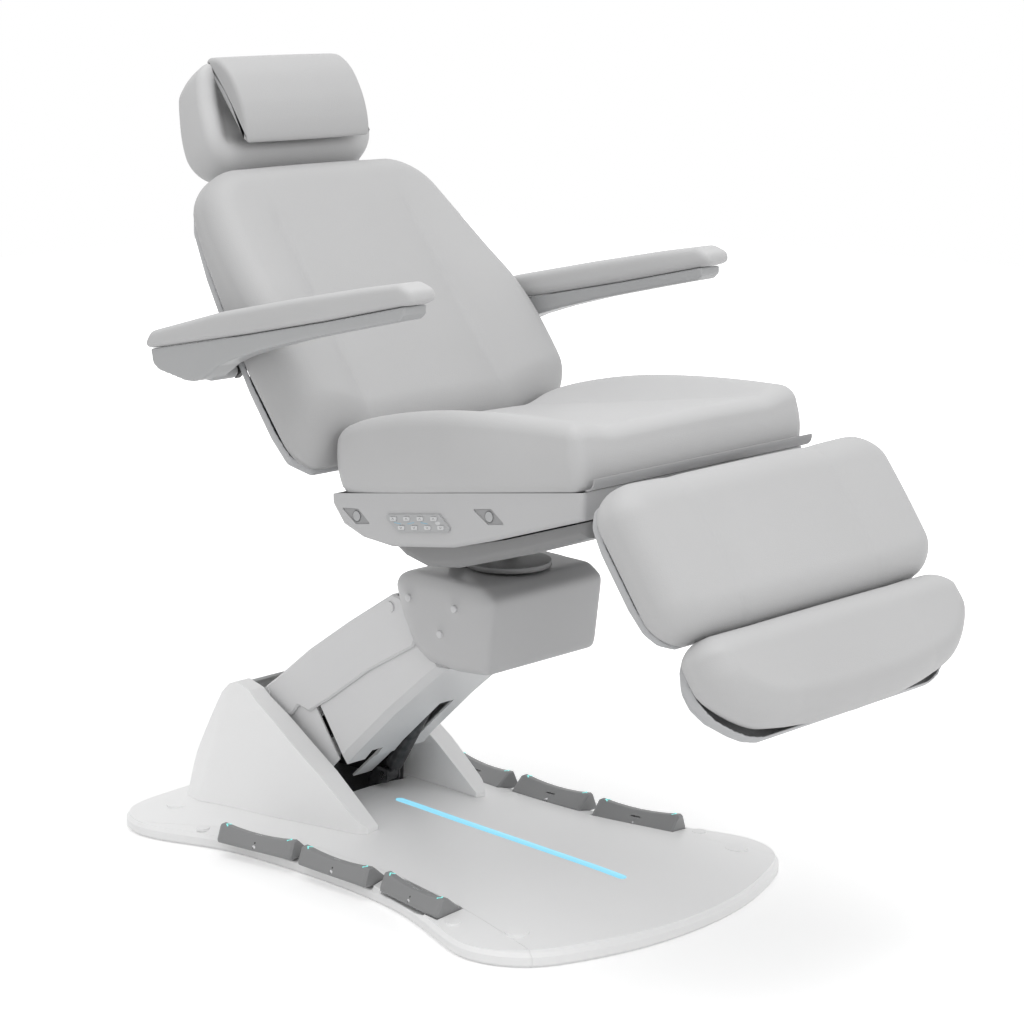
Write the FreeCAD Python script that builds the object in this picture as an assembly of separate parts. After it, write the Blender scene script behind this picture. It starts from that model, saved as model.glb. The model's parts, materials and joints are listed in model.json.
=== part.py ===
# Podiatry chair: a seat, backrest, head rest, leg rest and foot rest on a lifting arm and a floor base.
# Millimetres, Z up, floor at Z 0, the sitter faces -Y, X 0 is the plane of symmetry.
# Side outlines are (y, z); an outline given in shares is sized by its named lengths.

import FreeCAD, Part
import math
import os

Vector = FreeCAD.Vector

# Shared sizes
wall = 4.0
gap = 0.3
running_fit = 0.05
overrun = 5.0
cap_diameter = 21.0
cap_height = 3.0
cap_seat = 2.0
edge_break = 2.0

# Floor base
base_front = 626.0
base_half_width = 398.0
base_rim_height = 27.0
base_crown = 70.0
base_inset = 6.0
base_plate_thickness = 6.0
foot_diameter = 60.0
foot_height = 4.0
parting_gap = 0.6
base_outline_shares = [
    (0.0, -1.0), (0.21, -0.993), (0.46, -0.963), (0.68, -0.915), (0.86, -0.85), (0.95, -0.773),
    (0.99, -0.666), (0.935, -0.535), (0.80, -0.276), (0.756, -0.046), (0.75, 0.16), (0.764, 0.36),
    (0.81, 0.545), (0.92, 0.75), (0.925, 0.84), (0.84, 0.937), (0.5, 0.978), (0.0, 0.983)]
base_crown_shares = [
    (-1.02, 0.955, 0.40), (-0.86, 1.0, 0.62), (-0.70, 1.0, 0.76), (-0.48, 0.92, 0.83), (-0.24, 0.807, 0.88),
    (0.0, 0.756, 0.93), (0.24, 0.756, 0.99), (0.48, 0.77, 1.0), (0.72, 0.90, 0.94), (0.86, 0.935, 0.75),
    (1.02, 0.905, 0.40)]
big_cap_diameter = 44.0
small_cap_diameter = 27.0
big_cap_places_shares = [(0.764, -0.736), (0.678, 0.81)]
small_cap_places_shares = [(0.85, -0.543), (0.784, 0.604)]

# Light strip
strip_width = 9.5
strip_front = -441.0
strip_rear = 152.0
strip_height = 4.0
strip_proud = 0.8

# Pedals
pedal_length = 185.0
pedal_width = 56.0
pedal_height = 36.0
pedal_saddle = 8.0
pedal_lift = 2.0
pedal_places = [("pedal_{}_rear", 300.0, 215.0, 8.5), ("pedal_{}_middle", 292.0, 2.0, 0.0),
                ("pedal_{}_front", 300.0, -216.0, -9.5)]
pedal_pin_radius = 4.0
pedal_pin_height = 8.0
pedal_lug_length = 14.0
pedal_lug_width = 18.0
pedal_recess = 5.0
pedal_clearance = 2.5

# Tower at the rear of the base
fin_inner = 135.0
fin_rear_half = 246.0
tower_front = 68.0
tower_rear = 552.0
tower_top = 290.0
tower_side_shares = [
    (0.0, 0.12), (0.0, 0.235), (0.113, 0.376), (0.233, 0.524), (0.378, 0.67), (0.514, 0.81), (0.628, 0.91),
    (0.676, 0.966), (0.762, 1.0), (0.80, 0.975), (0.843, 0.905), (0.882, 0.755), (0.955, 0.445), (1.0, 0.17),
    (1.0, 0.12)]
tower_frame_inner = 104.0
tower_frame_thickness = 6.0
tower_foot_front = 250.0
tower_foot_rear = 455.0
tower_foot_half = 120.0

# Lifting arm
upper_pivot_y = 347.0
upper_pivot_z = 266.0
lower_pivot_y = 265.0
lower_pivot_z = 211.0
arm_reach = 393.0
arm_rise = 275.0
link_inner = 78.0
link_thickness = 20.0
link_height = 42.0
pivot_pin_radius = 12.0
pin_inner = 70.0
boss_radius = 21.0
arm_cover_half = 125.0
lower_cover_half = 118.0
arm_bevel = 14.0



# Further sizes of the base and the tower
deck_parting_shares = [
    (0.86, -0.85), (0.716, -0.48), (0.63, -0.176), (0.623, 0.176), (0.685, 0.51), (0.935, 0.83),
    (1.3, 0.83), (1.3, -0.85)]
plate_clearance = 1.3
plate_top = foot_height + base_plate_thickness
foot_places_shares = [(0.80, -0.75), (0.62, 0.0), (0.72, 0.80)]
pedal_station_shares = [-1.0, -0.95, -0.6, -0.3, 0.0, 0.3, 0.6, 0.95, 1.0]
pedal_section_shares = [(-1.0, 0.0), (1.0, 0.0), (1.0, 0.2), (0.56, 1.0), (0.12, 1.0), (-1.0, 0.24)]
pedal_corner = 5.0
pedal_end_shrink = 3.0
inlet_width = 26.0
inlet_height = 12.0
inlet_depth = 24.0
power_width = 200.0
power_length = 240.0
power_front = -420.0
power_height = 32.0
floor_top = 60.0
tower_edge = 6.0
tower_corner = 45.0
tower_mouth_rear = 462.0
tower_foot_plan_shares = [(-0.70, -0.02), (0.70, -0.02), (1.03, 0.86), (0.92, 1.01), (-0.92, 1.01), (-1.03, 0.86)]
tower_head_plan_shares = [(-0.67, -0.02), (0.67, -0.02), (0.69, 0.80), (0.62, 0.99), (-0.62, 0.99), (-0.69, 0.80)]
lift_x = 43.0
lift_foot_y = 222.0
lift_foot_z = 98.0
lift_pin_radius = 8.0
clevis_inner = 13.0
clevis_plate = 5.0
clevis_radius = 14.0
clevis_depth = 20.0

# Further sizes of the arm, its drive and its head
lift_head_y = -20.0
lift_head_z = 470.0
lift_tie_radius = 13.0
lift_tube_start = 27.0
lift_tube_end = 288.0
lift_tube_radius = 17.0
lift_motor_end = 150.0
lift_motor_radius = 15.0
lift_rod_radius = 10.0
lift_rod_start = 175.0
lift_eye_radius = 19.0
lift_slack = 7.0
link_slack = 0.6
upper_cover_depth = 45.0
lower_cover_depth = 180.0
upper_cover_shares = [
    (-0.09, -0.44), (-0.09, 0.9), (0.015, 0.915), (0.265, 1.05), (0.55, 0.98), (0.849, 0.8), (0.886, 0.44),
    (0.872, -1.33), (0.832, -1.6), (0.538, -1.3), (0.25, -1.3), (0.107, -1.23), (0.063, -0.71), (-0.009, -0.89)]
upper_cover_skin_shares = [
    (-0.0817, -3.0), (-0.0817, 0.81), (0.015, 0.825), (0.265, 0.96), (0.55, 0.89), (0.849, 0.71), (0.95, 0.40),
    (0.95, -3.0)]
upper_cover_block_shares = [0.10, 0.80]
upper_cap_places = [(395.0, 267.0), (38.0, 503.0)]
lower_cover_shares = [
    (0.146, -1.01), (0.223, -0.967), (0.536, -0.856), (0.83, -0.789), (0.92, -0.789), (0.938, -0.111), (0.146, -0.111)]
lower_cover_hollow_shares = [
    (0.05, -1.0), (0.223, -0.945), (0.536, -0.834), (0.83, -0.767), (1.05, -0.767), (1.05, 0.30), (0.05, 0.30)]
lower_cover_boss_shares = [0.26, 0.75]
tongue_shares = [(-0.035, -1.055), (0.20, -0.98), (0.20, -0.955), (-0.035, -1.03)]
notch_left = 27.0
notch_right = 23.0
notch_left_outer = 57.0
notch_right_outer = 63.0
notch_left_reach = 100.0
notch_right_reach = 246.0
head_front = -258.0
head_rear = 5.0
head_bottom = 416.0
head_top = 594.0
head_half = 155.0
head_bevel = 24.0
head_bevel_depth = 9.0
head_corner = 8.0
head_side_shares = [
    (1.0, 0.798), (0.958, 0.91), (0.882, 0.961), (0.764, 1.0), (0.129, 0.972), (0.0, 0.848), (0.076, 0.034),
    (0.392, 0.0), (0.658, 0.028), (0.81, 0.169), (0.924, 0.489)]
head_mouth_half = 131.0
head_mouth_front = -118.0
head_mouth_top = 572.0
head_cap_places = [(-46.0, 541.0), (-165.0, 540.0), (-128.0, 486.0)]
head_plate_inner = 60.0
head_plate_thickness = 12.0
head_plate_z = 582.0
head_pin_length = 35.0
swivel_y = -150.0
hub_radius = 50.0
hub_top = 594.2
post_radius = 30.0
disc_radius = 80.0
disc_bottom = 594.5
disc_thickness = 10.0

# Tilt hinge and the slotted levers of the three level drives
tilt_y = -80.0
tilt_z = 622.0
tilt_ear = 14.0
tilt_ear_inner = 60.0
tilt_ear_thickness = 12.0
tilt_lever_height = 60.0
hinge_pin_radius = 8.0
lever_inner = 9.0
lever_thickness = 5.0
lever_half = 12.0
lever_pin_radius = 5.0
lever_slack = 3.0
lever_sweep = 39.0
drive_radius = 16.0
drive_rod_radius = 7.0
drive_motor_radius = 17.0
drive_motor_length = 70.0
drive_rod_share = 0.45

# Seat, in its own tilted frame: along runs to the front, out runs up
seat_rear_y = 0.0
seat_rear_z = 752.0
seat_tilt = 8.1
seat_half = 303.0
seat_long = 611.0
seat_pad = 101.0
seat_bolster_foot = 200.0
seat_wing_shares = [(0.02, 0.20), (0.12, 0.28), (0.26, 0.38), (0.46, 0.40), (0.66, 0.36), (0.83, 0.27), (0.98, 0.12)]
seat_end_round = 26.0
seat_plan_round = 22.0
channel_depth = 5.0
panel_crown = 5.0
crest_round = 34.0
foot_round = 12.0
side_draw = 5.0
cover_half = 296.0
cover_bevel = 10.0
cover_open_half = 250.0
cover_open_front = -585.0
cover_open_rear = -24.0
seat_cover_shares = [
    (0.0, -0.15), (-0.038, -0.305), (-0.12, -0.4), (-0.242, -0.431), (-0.49, -0.311), (-0.643, -0.167),
    (-0.996, 0.211), (-0.996, 0.475), (0.0, -0.004)]
pan_half = 258.0
pan_bevel = 16.0
under_pan_shares = [
    (-0.182, -0.489), (-0.223, -0.567), (-0.311, -0.633), (-0.435, -0.578), (-0.736, -0.272), (-0.944, -0.017),
    (-0.944, 0.145), (-0.635, -0.185), (-0.484, -0.319), (-0.232, -0.436), (-0.182, -0.457)]
pan_top_count = 5
rail_inner = 190.0
rail_width = 25.0
rail_height = 30.0
rail_drop = 0.3
rail_shares = (0.035, 0.965)
bar_shares = [(0.10, 0.165), (0.49, 0.54), (0.66, 0.71), (0.915, 0.965)]
bar_thickness = 10.0
saddle_half = 10.0
panel_corners = [(-125.0, 732.0), (-268.0, 753.0), (-302.0, 726.0), (-167.0, 706.0)]
panel_thickness = 3.0
key_length = 15.0
key_height = 7.0
key_proud = 2.2
key_travel = 0.8
key_column_shares = [0.14, 0.38, 0.62, 0.86]
key_row_shares = [("up", 0.25), ("down", 0.75)]
socket_pockets = [[(-16.0, 728.0), (-60.0, 732.0), (-92.0, 709.0), (-54.0, 703.0)],
                  [(-346.0, 773.0), (-391.0, 780.0), (-424.0, 757.0), (-384.0, 751.0)]]
socket_depth = 2.6
socket_disc_radius = 10.0
flap_half = 293.0
flap_reach = 19.0
flap_rise = 22.0
flap_thickness = 2.0

# Backrest frame: along runs up the back, out runs to the sitter
back_y = 12.0
back_z = 868.0
back_lean = 37.7
back_hinge_y = 40.0
back_hinge_z = 790.0
back_lever_height = 60.0
back_lever_angle = 25.0
back_drive_x = 54.0
back_long = 578.0
back_pad = 80.0
back_seam = 172.0
back_stations_shares = [
    (0.0, 0.995, 0.97, 0.50), (0.12, 1.0, 1.0, 0.50), (0.25, 1.0, 1.01, 0.50), (0.39, 0.986, 0.975, 0.49),
    (0.555, 0.948, 0.92, 0.25), (0.75, 0.90, 0.865, 0.02), (0.90, 0.83, 0.79, 0.0), (1.0, 0.74, 0.70, 0.0)]
back_half = 350.0
back_end_round = 26.0
back_plan_round = 62.0
back_bottom_lean = 52.0
back_crest_round = 44.0
shell_depth = 32.0
shell_inset = 8.0
back_frame_inner = 182.0
lug_thickness = 12.0
lug_radius = 13.0
hinge_notch = 45.0
hinge_notch_half = 217.0

# Head rest, in the backrest's frame
head_rest_start = 600.0
head_rest_long = 180.0
head_rest_half = 212.0
head_rest_top = -24.0
head_rest_pad = 46.0
head_rest_side_depth = 42.0
head_rest_stations_shares = [(0.0, 1.0, 0.95, 0.105), (0.35, 1.0, 0.96, 0.105), (0.7, 0.93, 0.90, 0.167),
                             (1.0, 0.86, 0.84, 0.235)]
head_shell_shares = [(0.02, 0.0), (0.98, 0.0), (0.95, -0.28), (0.68, -0.50), (0.30, -1.0), (0.02, -1.0)]
head_shell_depth = 62.0
head_shell_half = 150.0
pillow_half = 158.0
pillow_start = 602.0
pillow_long = 199.0
pillow_depth = 68.0
pillow_shares = [(0.96, 0.06), (1.0, 0.37), (0.97, 0.56), (0.874, 0.84), (0.668, 1.0), (0.42, 0.91), (0.23, 0.70),
                 (0.06, 0.40), (0.0, 0.16), (0.10, 0.0), (0.22, -0.28), (0.80, -0.28)]
pillow_station_shares = [(-1.0, 0.80), (-0.965, 0.95), (-0.88, 1.0), (0.0, 1.01), (0.88, 1.0), (0.965, 0.95), (1.0, 0.80)]
bar_x = 60.0
bar_radius = 8.0
bar_start = 330.0
bar_end = 640.0
head_tilt_along = 640.0
head_tilt_out = -92.0

# Armrests
arm_centre_x = 388.0
arm_pad_half = 33.0
arm_shell_half = 27.0
arm_pivot_y = 235.0
arm_pivot_z = 957.0
arm_front = -330.0
arm_length_y = 716.0
arm_low = 941.0
arm_tall = 227.0
arm_pad_shares = [
    (1.0, 0.26), (0.975, 0.366), (0.705, 0.595), (0.418, 0.784), (0.18, 0.93), (0.049, 1.0), (0.006, 0.956),
    (0.0, 0.865), (0.025, 0.84), (0.316, 0.634), (0.598, 0.449), (0.965, 0.225), (0.993, 0.216)]
arm_shell_shares = [
    (0.978, 0.24), (0.969, 0.101), (0.946, 0.053), (0.839, 0.0), (0.809, 0.004), (0.771, 0.035), (0.74, 0.093),
    (0.705, 0.167), (0.642, 0.247), (0.539, 0.348), (0.398, 0.467), (0.243, 0.581), (0.108, 0.678), (0.049, 0.718),
    (0.034, 0.762), (0.034, 0.85), (0.316, 0.66), (0.598, 0.475)]
arm_boss_radius = 16.0
arm_boss_inner = 330.5
arm_bracket_inner = 312.0
arm_bracket_half = 15.0

# Leg rest and foot rest: along runs down the leg, out runs to the sitter
leg_y = -737.0
leg_z = 860.0
leg_lean = 35.5
leg_hinge_y = -668.0
leg_hinge_z = 795.0
leg_lever_height = 52.0
leg_lever_angle = 12.0
leg_drive_x = -60.0
leg_start = -30.0
leg_long = 279.0
leg_half = 362.0
leg_pad = 75.0
leg_seam = 187.0
leg_stations_shares = [(0.0, 0.96, 0.95, 0.06), (0.2, 1.0, 0.985, 0.10), (0.5, 1.0, 0.985, 0.11),
                       (0.8, 1.0, 0.985, 0.10), (1.0, 0.97, 0.96, 0.06)]
leg_plan_round = 60.0
leg_end_round = 24.0
leg_lug_inner = 98.0
leg_notch_half = 127.0
foot_start = 254.0
foot_long = 182.0
foot_half = 345.0
foot_top = 20.0
foot_pad = 80.0
foot_stations_shares = [(0.0, 0.96, 0.94, 0.0), (0.3, 0.995, 0.98, 0.0), (0.6, 0.985, 0.965, 0.0), (1.0, 0.82, 0.78, 0.0)]
foot_plan_round = 60.0
foot_shell_depth = 40.0
rail_x = 90.0
rail_radius = 8.0
rail_sleeve = 11.0
seat_cover_tall = 180.0
end_step_shares = [0.0, 0.12, 0.36, 0.75]
middle_step_shares = [0.25, 0.4, 0.55, 0.72]
shell_step_shares = [0.0, 0.05, 0.14, 0.3, 0.5, 0.7, 0.86, 0.95, 1.0]
head_end_round = 20.0
head_plan_round = 34.0
head_crest_round = 22.0
back_drive_start = 84.0
leg_drive_start = 157.0
tilt_drive_start = 56.0
drive_length = 170.0


def at(y, z, x=0.0):
    return Vector(x, y, z)


def block(x0, x1, y0, y1, z0, z1):
    return Part.makeBox(x1 - x0, y1 - y0, z1 - z0, Vector(x0, y0, z0))


def rod(start, end, radius):
    direction = end - start
    return Part.makeCylinder(radius, direction.Length, start, direction)


def cross_rod(x0, x1, y, z, radius):
    return rod(Vector(x0, y, z), Vector(x1, y, z), radius)


def mirrored(shape):
    return shape.mirror(Vector(0, 0, 0), Vector(1, 0, 0))


def both(shape):
    return [shape, mirrored(shape)]


def fused(shapes):
    if len(shapes) == 1:
        return shapes[0]
    return shapes[0].multiFuse(shapes[1:])


def cut(shape, tools):
    return shape.cut(Part.makeCompound(tools))


def together(shapes):
    return Part.makeCompound(shapes)


def sized(shares, origin, size):
    return [(origin[0] + a * size[0], origin[1] + b * size[1]) for a, b in shares]


def area_sign(points):
    total = 0.0
    for i, (a, b) in enumerate(points):
        c, d = points[(i + 1) % len(points)]
        total += a * d - c * b
    return 1.0 if total > 0 else -1.0


def inset(points, distance):
    """Move every edge of a closed outline inward and meet the edges again."""
    turn = area_sign(points)
    lines = []
    for i, (a, b) in enumerate(points):
        c, d = points[(i + 1) % len(points)]
        length = math.hypot(c - a, d - b)
        nx, ny = -(d - b) / length * turn, (c - a) / length * turn
        lines.append((a + nx * distance, b + ny * distance, (c - a) / length, (d - b) / length))
    moved = []
    for i, here in enumerate(lines):
        before = lines[i - 1]
        cross = before[2] * here[3] - before[3] * here[2]
        if abs(cross) < 0.02:
            moved.append((here[0], here[1]))
            continue
        step = ((here[0] - before[0]) * here[3] - (here[1] - before[1]) * here[2]) / cross
        moved.append((before[0] + before[2] * step, before[1] + before[3] * step))
    return moved


def rounded_edges(points, radii, place):
    """Edges of a closed outline whose corners are arcs; place turns (a, b) into a point in space."""
    count = len(points)
    if not isinstance(radii, (list, tuple)):
        radii = [radii] * count
    corners = []
    for i, (a, b) in enumerate(points):
        pa, pb = points[i - 1]
        na, nb = points[(i + 1) % count]
        back = math.hypot(pa - a, pb - b)
        ahead = math.hypot(na - a, nb - b)
        ub = ((pa - a) / back, (pb - b) / back)
        ua = ((na - a) / ahead, (nb - b) / ahead)
        dot = max(-1.0, min(1.0, ub[0] * ua[0] + ub[1] * ua[1]))
        half = math.acos(dot) / 2
        if radii[i] <= 0 or half > 1.54:
            corners.append(((a, b), None, (a, b)))
            continue
        reach = min(radii[i] / math.tan(half), 0.45 * back, 0.45 * ahead)
        radius = reach * math.tan(half)
        start = (a + ub[0] * reach, b + ub[1] * reach)
        end = (a + ua[0] * reach, b + ua[1] * reach)
        mx, my = ub[0] + ua[0], ub[1] + ua[1]
        size = math.hypot(mx, my)
        bulge = radius / math.sin(half) - radius
        middle = (a + mx / size * bulge, b + my / size * bulge)
        corners.append((start, middle, end))
    edges = []
    for i, (start, middle, end) in enumerate(corners):
        if middle is not None:
            edges.append(Part.Arc(place(*start), place(*middle), place(*end)).toShape())
        following = corners[(i + 1) % count][0]
        edges.append(Part.makeLine(place(*end), place(*following)))
    return edges


def side_wire(points, x, radii=0.0):
    return Part.Wire(rounded_edges(points, radii, lambda y, z: Vector(x, y, z)))


def plan_wire(points, z, radii=0.0):
    return Part.Wire(rounded_edges(points, radii, lambda x, y: Vector(x, y, z)))


def side_plate(points, x0, x1, radii=0.0):
    return Part.Face(side_wire(points, x0, radii)).extrude(Vector(x1 - x0, 0, 0))


def plan_plate(points, z0, z1, radii=0.0):
    return Part.Face(plan_wire(points, z0, radii)).extrude(Vector(0, 0, z1 - z0))


def bevelled_plate(points, half, bevel, radii=0.0):
    """A side outline across the whole width, with a bevel along the outline's edge on both flanks."""
    small = inset(points, bevel)
    wires = [side_wire(small, -half, radii), side_wire(points, -half + bevel, radii),
             side_wire(points, half - bevel, radii), side_wire(small, half, radii)]
    return Part.makeLoft(wires, True, True)


def loft(wires, straight=False):
    return Part.makeLoft(wires, True, straight)


def closed_curve(points, place):
    curve = Part.BSplineCurve()
    curve.interpolate([place(*p) for p in points], PeriodicFlag=True)
    return Part.Wire([curve.toShape()])


def shifted(points, distance):
    """Move the points of a smooth closed curve inward along their normals."""
    turn = area_sign(points)
    moved = []
    for i, (a, b) in enumerate(points):
        pa, pb = points[i - 1]
        na, nb = points[(i + 1) % len(points)]
        length = math.hypot(na - pa, nb - pb)
        moved.append((a - (nb - pb) / length * turn * distance, b + (na - pa) / length * turn * distance))
    return moved


# Floor base: a low domed shell over a steel plate on four feet

def base_points():
    half = [(x * base_half_width, y * base_front) for x, y in base_outline_shares]
    return half + [(-x, y) for x, y in reversed(half[1:-1])]


def base_outline(z, distance):
    return closed_curve(shifted(base_points(), distance), lambda x, y: Vector(x, y, z))


def base_top(x, y):
    """Height of the domed top above the floor."""
    stations = [(a * base_front, b * base_half_width, c * base_crown) for a, b, c in base_crown_shares]
    for low, high in zip(stations, stations[1:]):
        if low[0] <= y <= high[0]:
            part = (y - low[0]) / (high[0] - low[0])
            half = low[1] + (high[1] - low[1]) * part
            crown = low[2] + (high[2] - low[2]) * part
            return base_rim_height + (crown - base_rim_height) * (1 - (x / half) ** 2)
    return base_rim_height


def base_dome(lower):
    wires = []
    for a, b, c in base_crown_shares:
        y, half, crown = a * base_front, b * base_half_width, c * base_crown
        crown = max(crown, base_rim_height + edge_break)
        wide = half * 1.1
        low = base_rim_height - (crown - base_rim_height) * 0.21 - lower
        left, right = Vector(-wide, y, low), Vector(wide, y, low)
        under = -foot_diameter
        arc = Part.Arc(left, Vector(0, y, crown - lower), right).toShape()
        wires.append(Part.Wire([arc, Part.makeLine(right, Vector(wide, y, under)),
                                Part.makeLine(Vector(wide, y, under), Vector(-wide, y, under)),
                                Part.makeLine(Vector(-wide, y, under), left)]))
    return loft(wires)


def base_solid(inside):
    rise = base_rim_height / 4
    tall = base_crown + overrun
    if inside:
        skirt = loft([base_outline(-overrun, wall + base_inset), base_outline(tall, wall + 2 * base_inset)])
        return skirt.common(base_dome(wall))
    skirt = loft([base_outline(gap, base_inset), base_outline(rise, 0.0), base_outline(3 * rise, 0.0),
                  base_outline(4 * rise, base_inset), base_outline(tall, 2 * base_inset)], True)
    return skirt.common(base_dome(0.0))


def deck_prism(grow):
    outline = sized(deck_parting_shares, (0.0, 0.0), (base_half_width, base_front))
    return plan_plate(inset(outline, -grow), -overrun, base_crown + foot_diameter)


def pedal_placed(shape, place):
    name, x, y, yaw = place
    shape = shape.copy()
    shape.rotate(Vector(0, 0, 0), Vector(0, 0, 1), -yaw)
    shape.translate(Vector(x, y, 0))
    return shape


def pedal_pocket(grow, floor):
    half, long = pedal_width / 2 + grow, pedal_length / 2 + grow
    return block(-half, half, -long, long, floor, base_crown + overrun)


def pedal_lug():
    low = base_rim_height - pedal_recess - wall / 2
    top = base_rim_height + pedal_lift + pedal_pin_height + 2 * pedal_pin_radius
    lug = block(-pedal_lug_width / 2, pedal_lug_width / 2, -pedal_lug_length / 2, pedal_lug_length / 2, low, top)
    return lug.cut(pedal_pin(running_fit, overrun))


def pedal_pin(grow, longer):
    height = base_rim_height + pedal_lift + pedal_pin_height
    reach = pedal_width / 2 - edge_break + longer
    return cross_rod(-reach, reach, 0.0, height, pedal_pin_radius + grow)


def pedal_body():
    """A rocker with a sloped inner face, a steep outer face and a saddle along its top."""
    low = base_rim_height + pedal_lift
    half, long = pedal_width / 2, pedal_length / 2
    sections = []
    for share in pedal_station_shares:
        shrink = pedal_end_shrink if abs(share) > 0.99 else 0.0
        height = pedal_height - pedal_saddle * (1 - share ** 2) - shrink
        points = sized(pedal_section_shares, (0.0, low), (half - shrink, height))
        place = (lambda y: lambda x, z: Vector(x, y, z))(share * long)
        sections.append(Part.Wire(rounded_edges(points, pedal_corner, place)))
    body = loft(sections, True)
    side = pedal_lug_width / 2 + edge_break
    end = pedal_lug_length / 2 + 2 * edge_break
    top = low + pedal_pin_height + 2 * pedal_pin_radius + 2 * edge_break
    hollow = block(-side, side, -end, end, low - overrun, top)
    return cut(body, [hollow, pedal_pin(running_fit, overrun)])


def strip_slot(grow):
    half = strip_width / 2 + grow
    points = [(-half, strip_front - grow), (half, strip_front - grow), (half, strip_rear + grow),
              (-half, strip_rear + grow)]
    return plan_plate(points, base_rim_height, 2 * base_crown, half * 0.98)


def floor_cap(x, y, diameter, grow):
    low = base_top(x, y) - cap_seat
    return Part.makeCylinder(diameter / 2 + grow, cap_seat + cap_height, Vector(x, y, low))


def floor_caps(grow):
    caps = []
    for shares, diameter in [(big_cap_places_shares, big_cap_diameter),
                             (small_cap_places_shares, small_cap_diameter)]:
        for x, y in sized(shares, (0.0, 0.0), (base_half_width, base_front)):
            caps += both(floor_cap(x, y, diameter, grow))
    return caps


def foot_block(grow):
    half = tower_foot_half + grow
    return block(-half, half, tower_foot_front - grow, tower_foot_rear + grow, plate_top - grow,
                 2 * base_crown)


def inlet_block(grow):
    back = base_front * base_outline_shares[-1][1] - edge_break / 2
    half = inlet_width / 2 + grow
    return block(-half, half, back - inlet_depth, back + grow, plate_top - grow + gap,
                 plate_top + inlet_height + grow)


def base_nodes():
    nodes = {}
    outer = base_solid(False)
    skin = outer.cut(base_solid(True))
    caps = floor_caps(0.0)
    openings = [strip_slot(gap / 2).cut(base_dome(strip_height - strip_proud)), foot_block(gap)]
    openings += floor_caps(gap / 2)
    openings.append(inlet_block(gap / 2).fuse(inlet_block(gap / 2).translated(Vector(0, overrun, 0))))
    skin = cut(skin, openings)
    decks = []
    right_deck = skin.common(deck_prism(0.0))
    trays = []
    pockets = []
    lugs = []
    for place in pedal_places:
        floor = base_rim_height - pedal_recess
        tray = pedal_placed(pedal_pocket(pedal_clearance + wall / 2, floor - wall), place)
        trays.append(tray.common(outer).common(deck_prism(-gap)))
        pockets.append(pedal_placed(pedal_pocket(pedal_clearance, floor), place))
        lugs.append(pedal_placed(pedal_lug(), place))
    deck = cut(fused([right_deck] + trays), pockets)
    deck = fused([deck] + lugs)
    deck = max(deck.Solids, key=lambda s: s.Volume)
    decks = both(deck)
    centre = skin.cut(deck_prism(parting_gap)).cut(mirrored(deck_prism(parting_gap)))
    centre = max(centre.Solids, key=lambda s: s.Volume)
    nodes["base_shell"] = together([centre] + caps)
    nodes["pedal_decks"] = together(decks)
    slot = strip_slot(0.0)
    nodes["light_strip"] = slot.common(base_dome(-strip_proud)).cut(base_dome(strip_height - strip_proud - gap))
    plate_edge = wall + base_inset + plate_clearance
    plate = Part.Face(base_outline(foot_height, plate_edge)).extrude(Vector(0, 0, base_plate_thickness))
    feet = []
    for x, y in sized(foot_places_shares, (0.0, 0.0), (base_half_width, base_front)):
        feet += both(Part.makeCylinder(foot_diameter / 2, foot_height, Vector(x, y, 0)))
    feet.append(Part.makeCylinder(foot_diameter / 2, foot_height))
    nodes["base_plate"] = together([plate] + feet)
    side = block(-power_width / 2, power_width / 2, power_front, power_front + power_length, plate_top,
                 plate_top + power_height)
    inlet = inlet_block(0.0)
    back = base_front * base_outline_shares[-1][1]
    pin_z = plate_top + inlet_height / 2
    socket = block(-inlet_width / 2 + edge_break, inlet_width / 2 - edge_break, back - inlet_depth / 2,
                   back + overrun, plate_top + edge_break, plate_top + inlet_height - edge_break)
    inlet = inlet.cut(socket)
    contacts = [rod(Vector(s * inlet_width / 4, back - inlet_depth / 2, pin_z),
                    Vector(s * inlet_width / 4, back - 2 * edge_break, pin_z), edge_break / 2)
                for s in (-1, 1)]
    nodes["power_unit"] = together([side, inlet] + contacts)
    for place in pedal_places:
        body = pedal_placed(pedal_body(), place)
        nodes[place[0].format("left")] = body
        nodes[place[0].format("right")] = mirrored(body)
    return nodes


# Tower: a white cover with two fins over a black steel frame

def tower_body(distance):
    length = tower_rear - tower_front
    points = sized(tower_side_shares, (tower_front, 0.0), (length, tower_top))
    points = inset(points, distance) if distance else points
    profile = side_plate(points, -base_half_width, base_half_width, tower_edge)
    wires = []
    for z, shares in [(0.0, tower_foot_plan_shares), (tower_top, tower_head_plan_shares)]:
        outline = sized(shares, (0.0, tower_front), (fin_rear_half, length))
        outline = inset(outline, distance) if distance else outline
        wires.append(plan_wire(outline, z, tower_corner))
    return profile.common(loft(wires, True))


def tower_cover():
    outer = tower_body(0.0)
    cover = outer.cut(tower_body(wall))
    inner = block(fin_inner, fin_inner + wall, 0.0, tower_rear - wall, 0.0, 2 * tower_top)
    ribs = [shape.common(outer) for shape in both(inner)]
    cover = fused([cover] + ribs)
    mouth = block(-fin_inner, fin_inner, 0.0, tower_mouth_rear, 0.0, 2 * tower_top)
    cover = cover.cut(mouth).cut(base_dome(-gap))
    return max(cover.Solids, key=lambda s: s.Volume)


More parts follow.
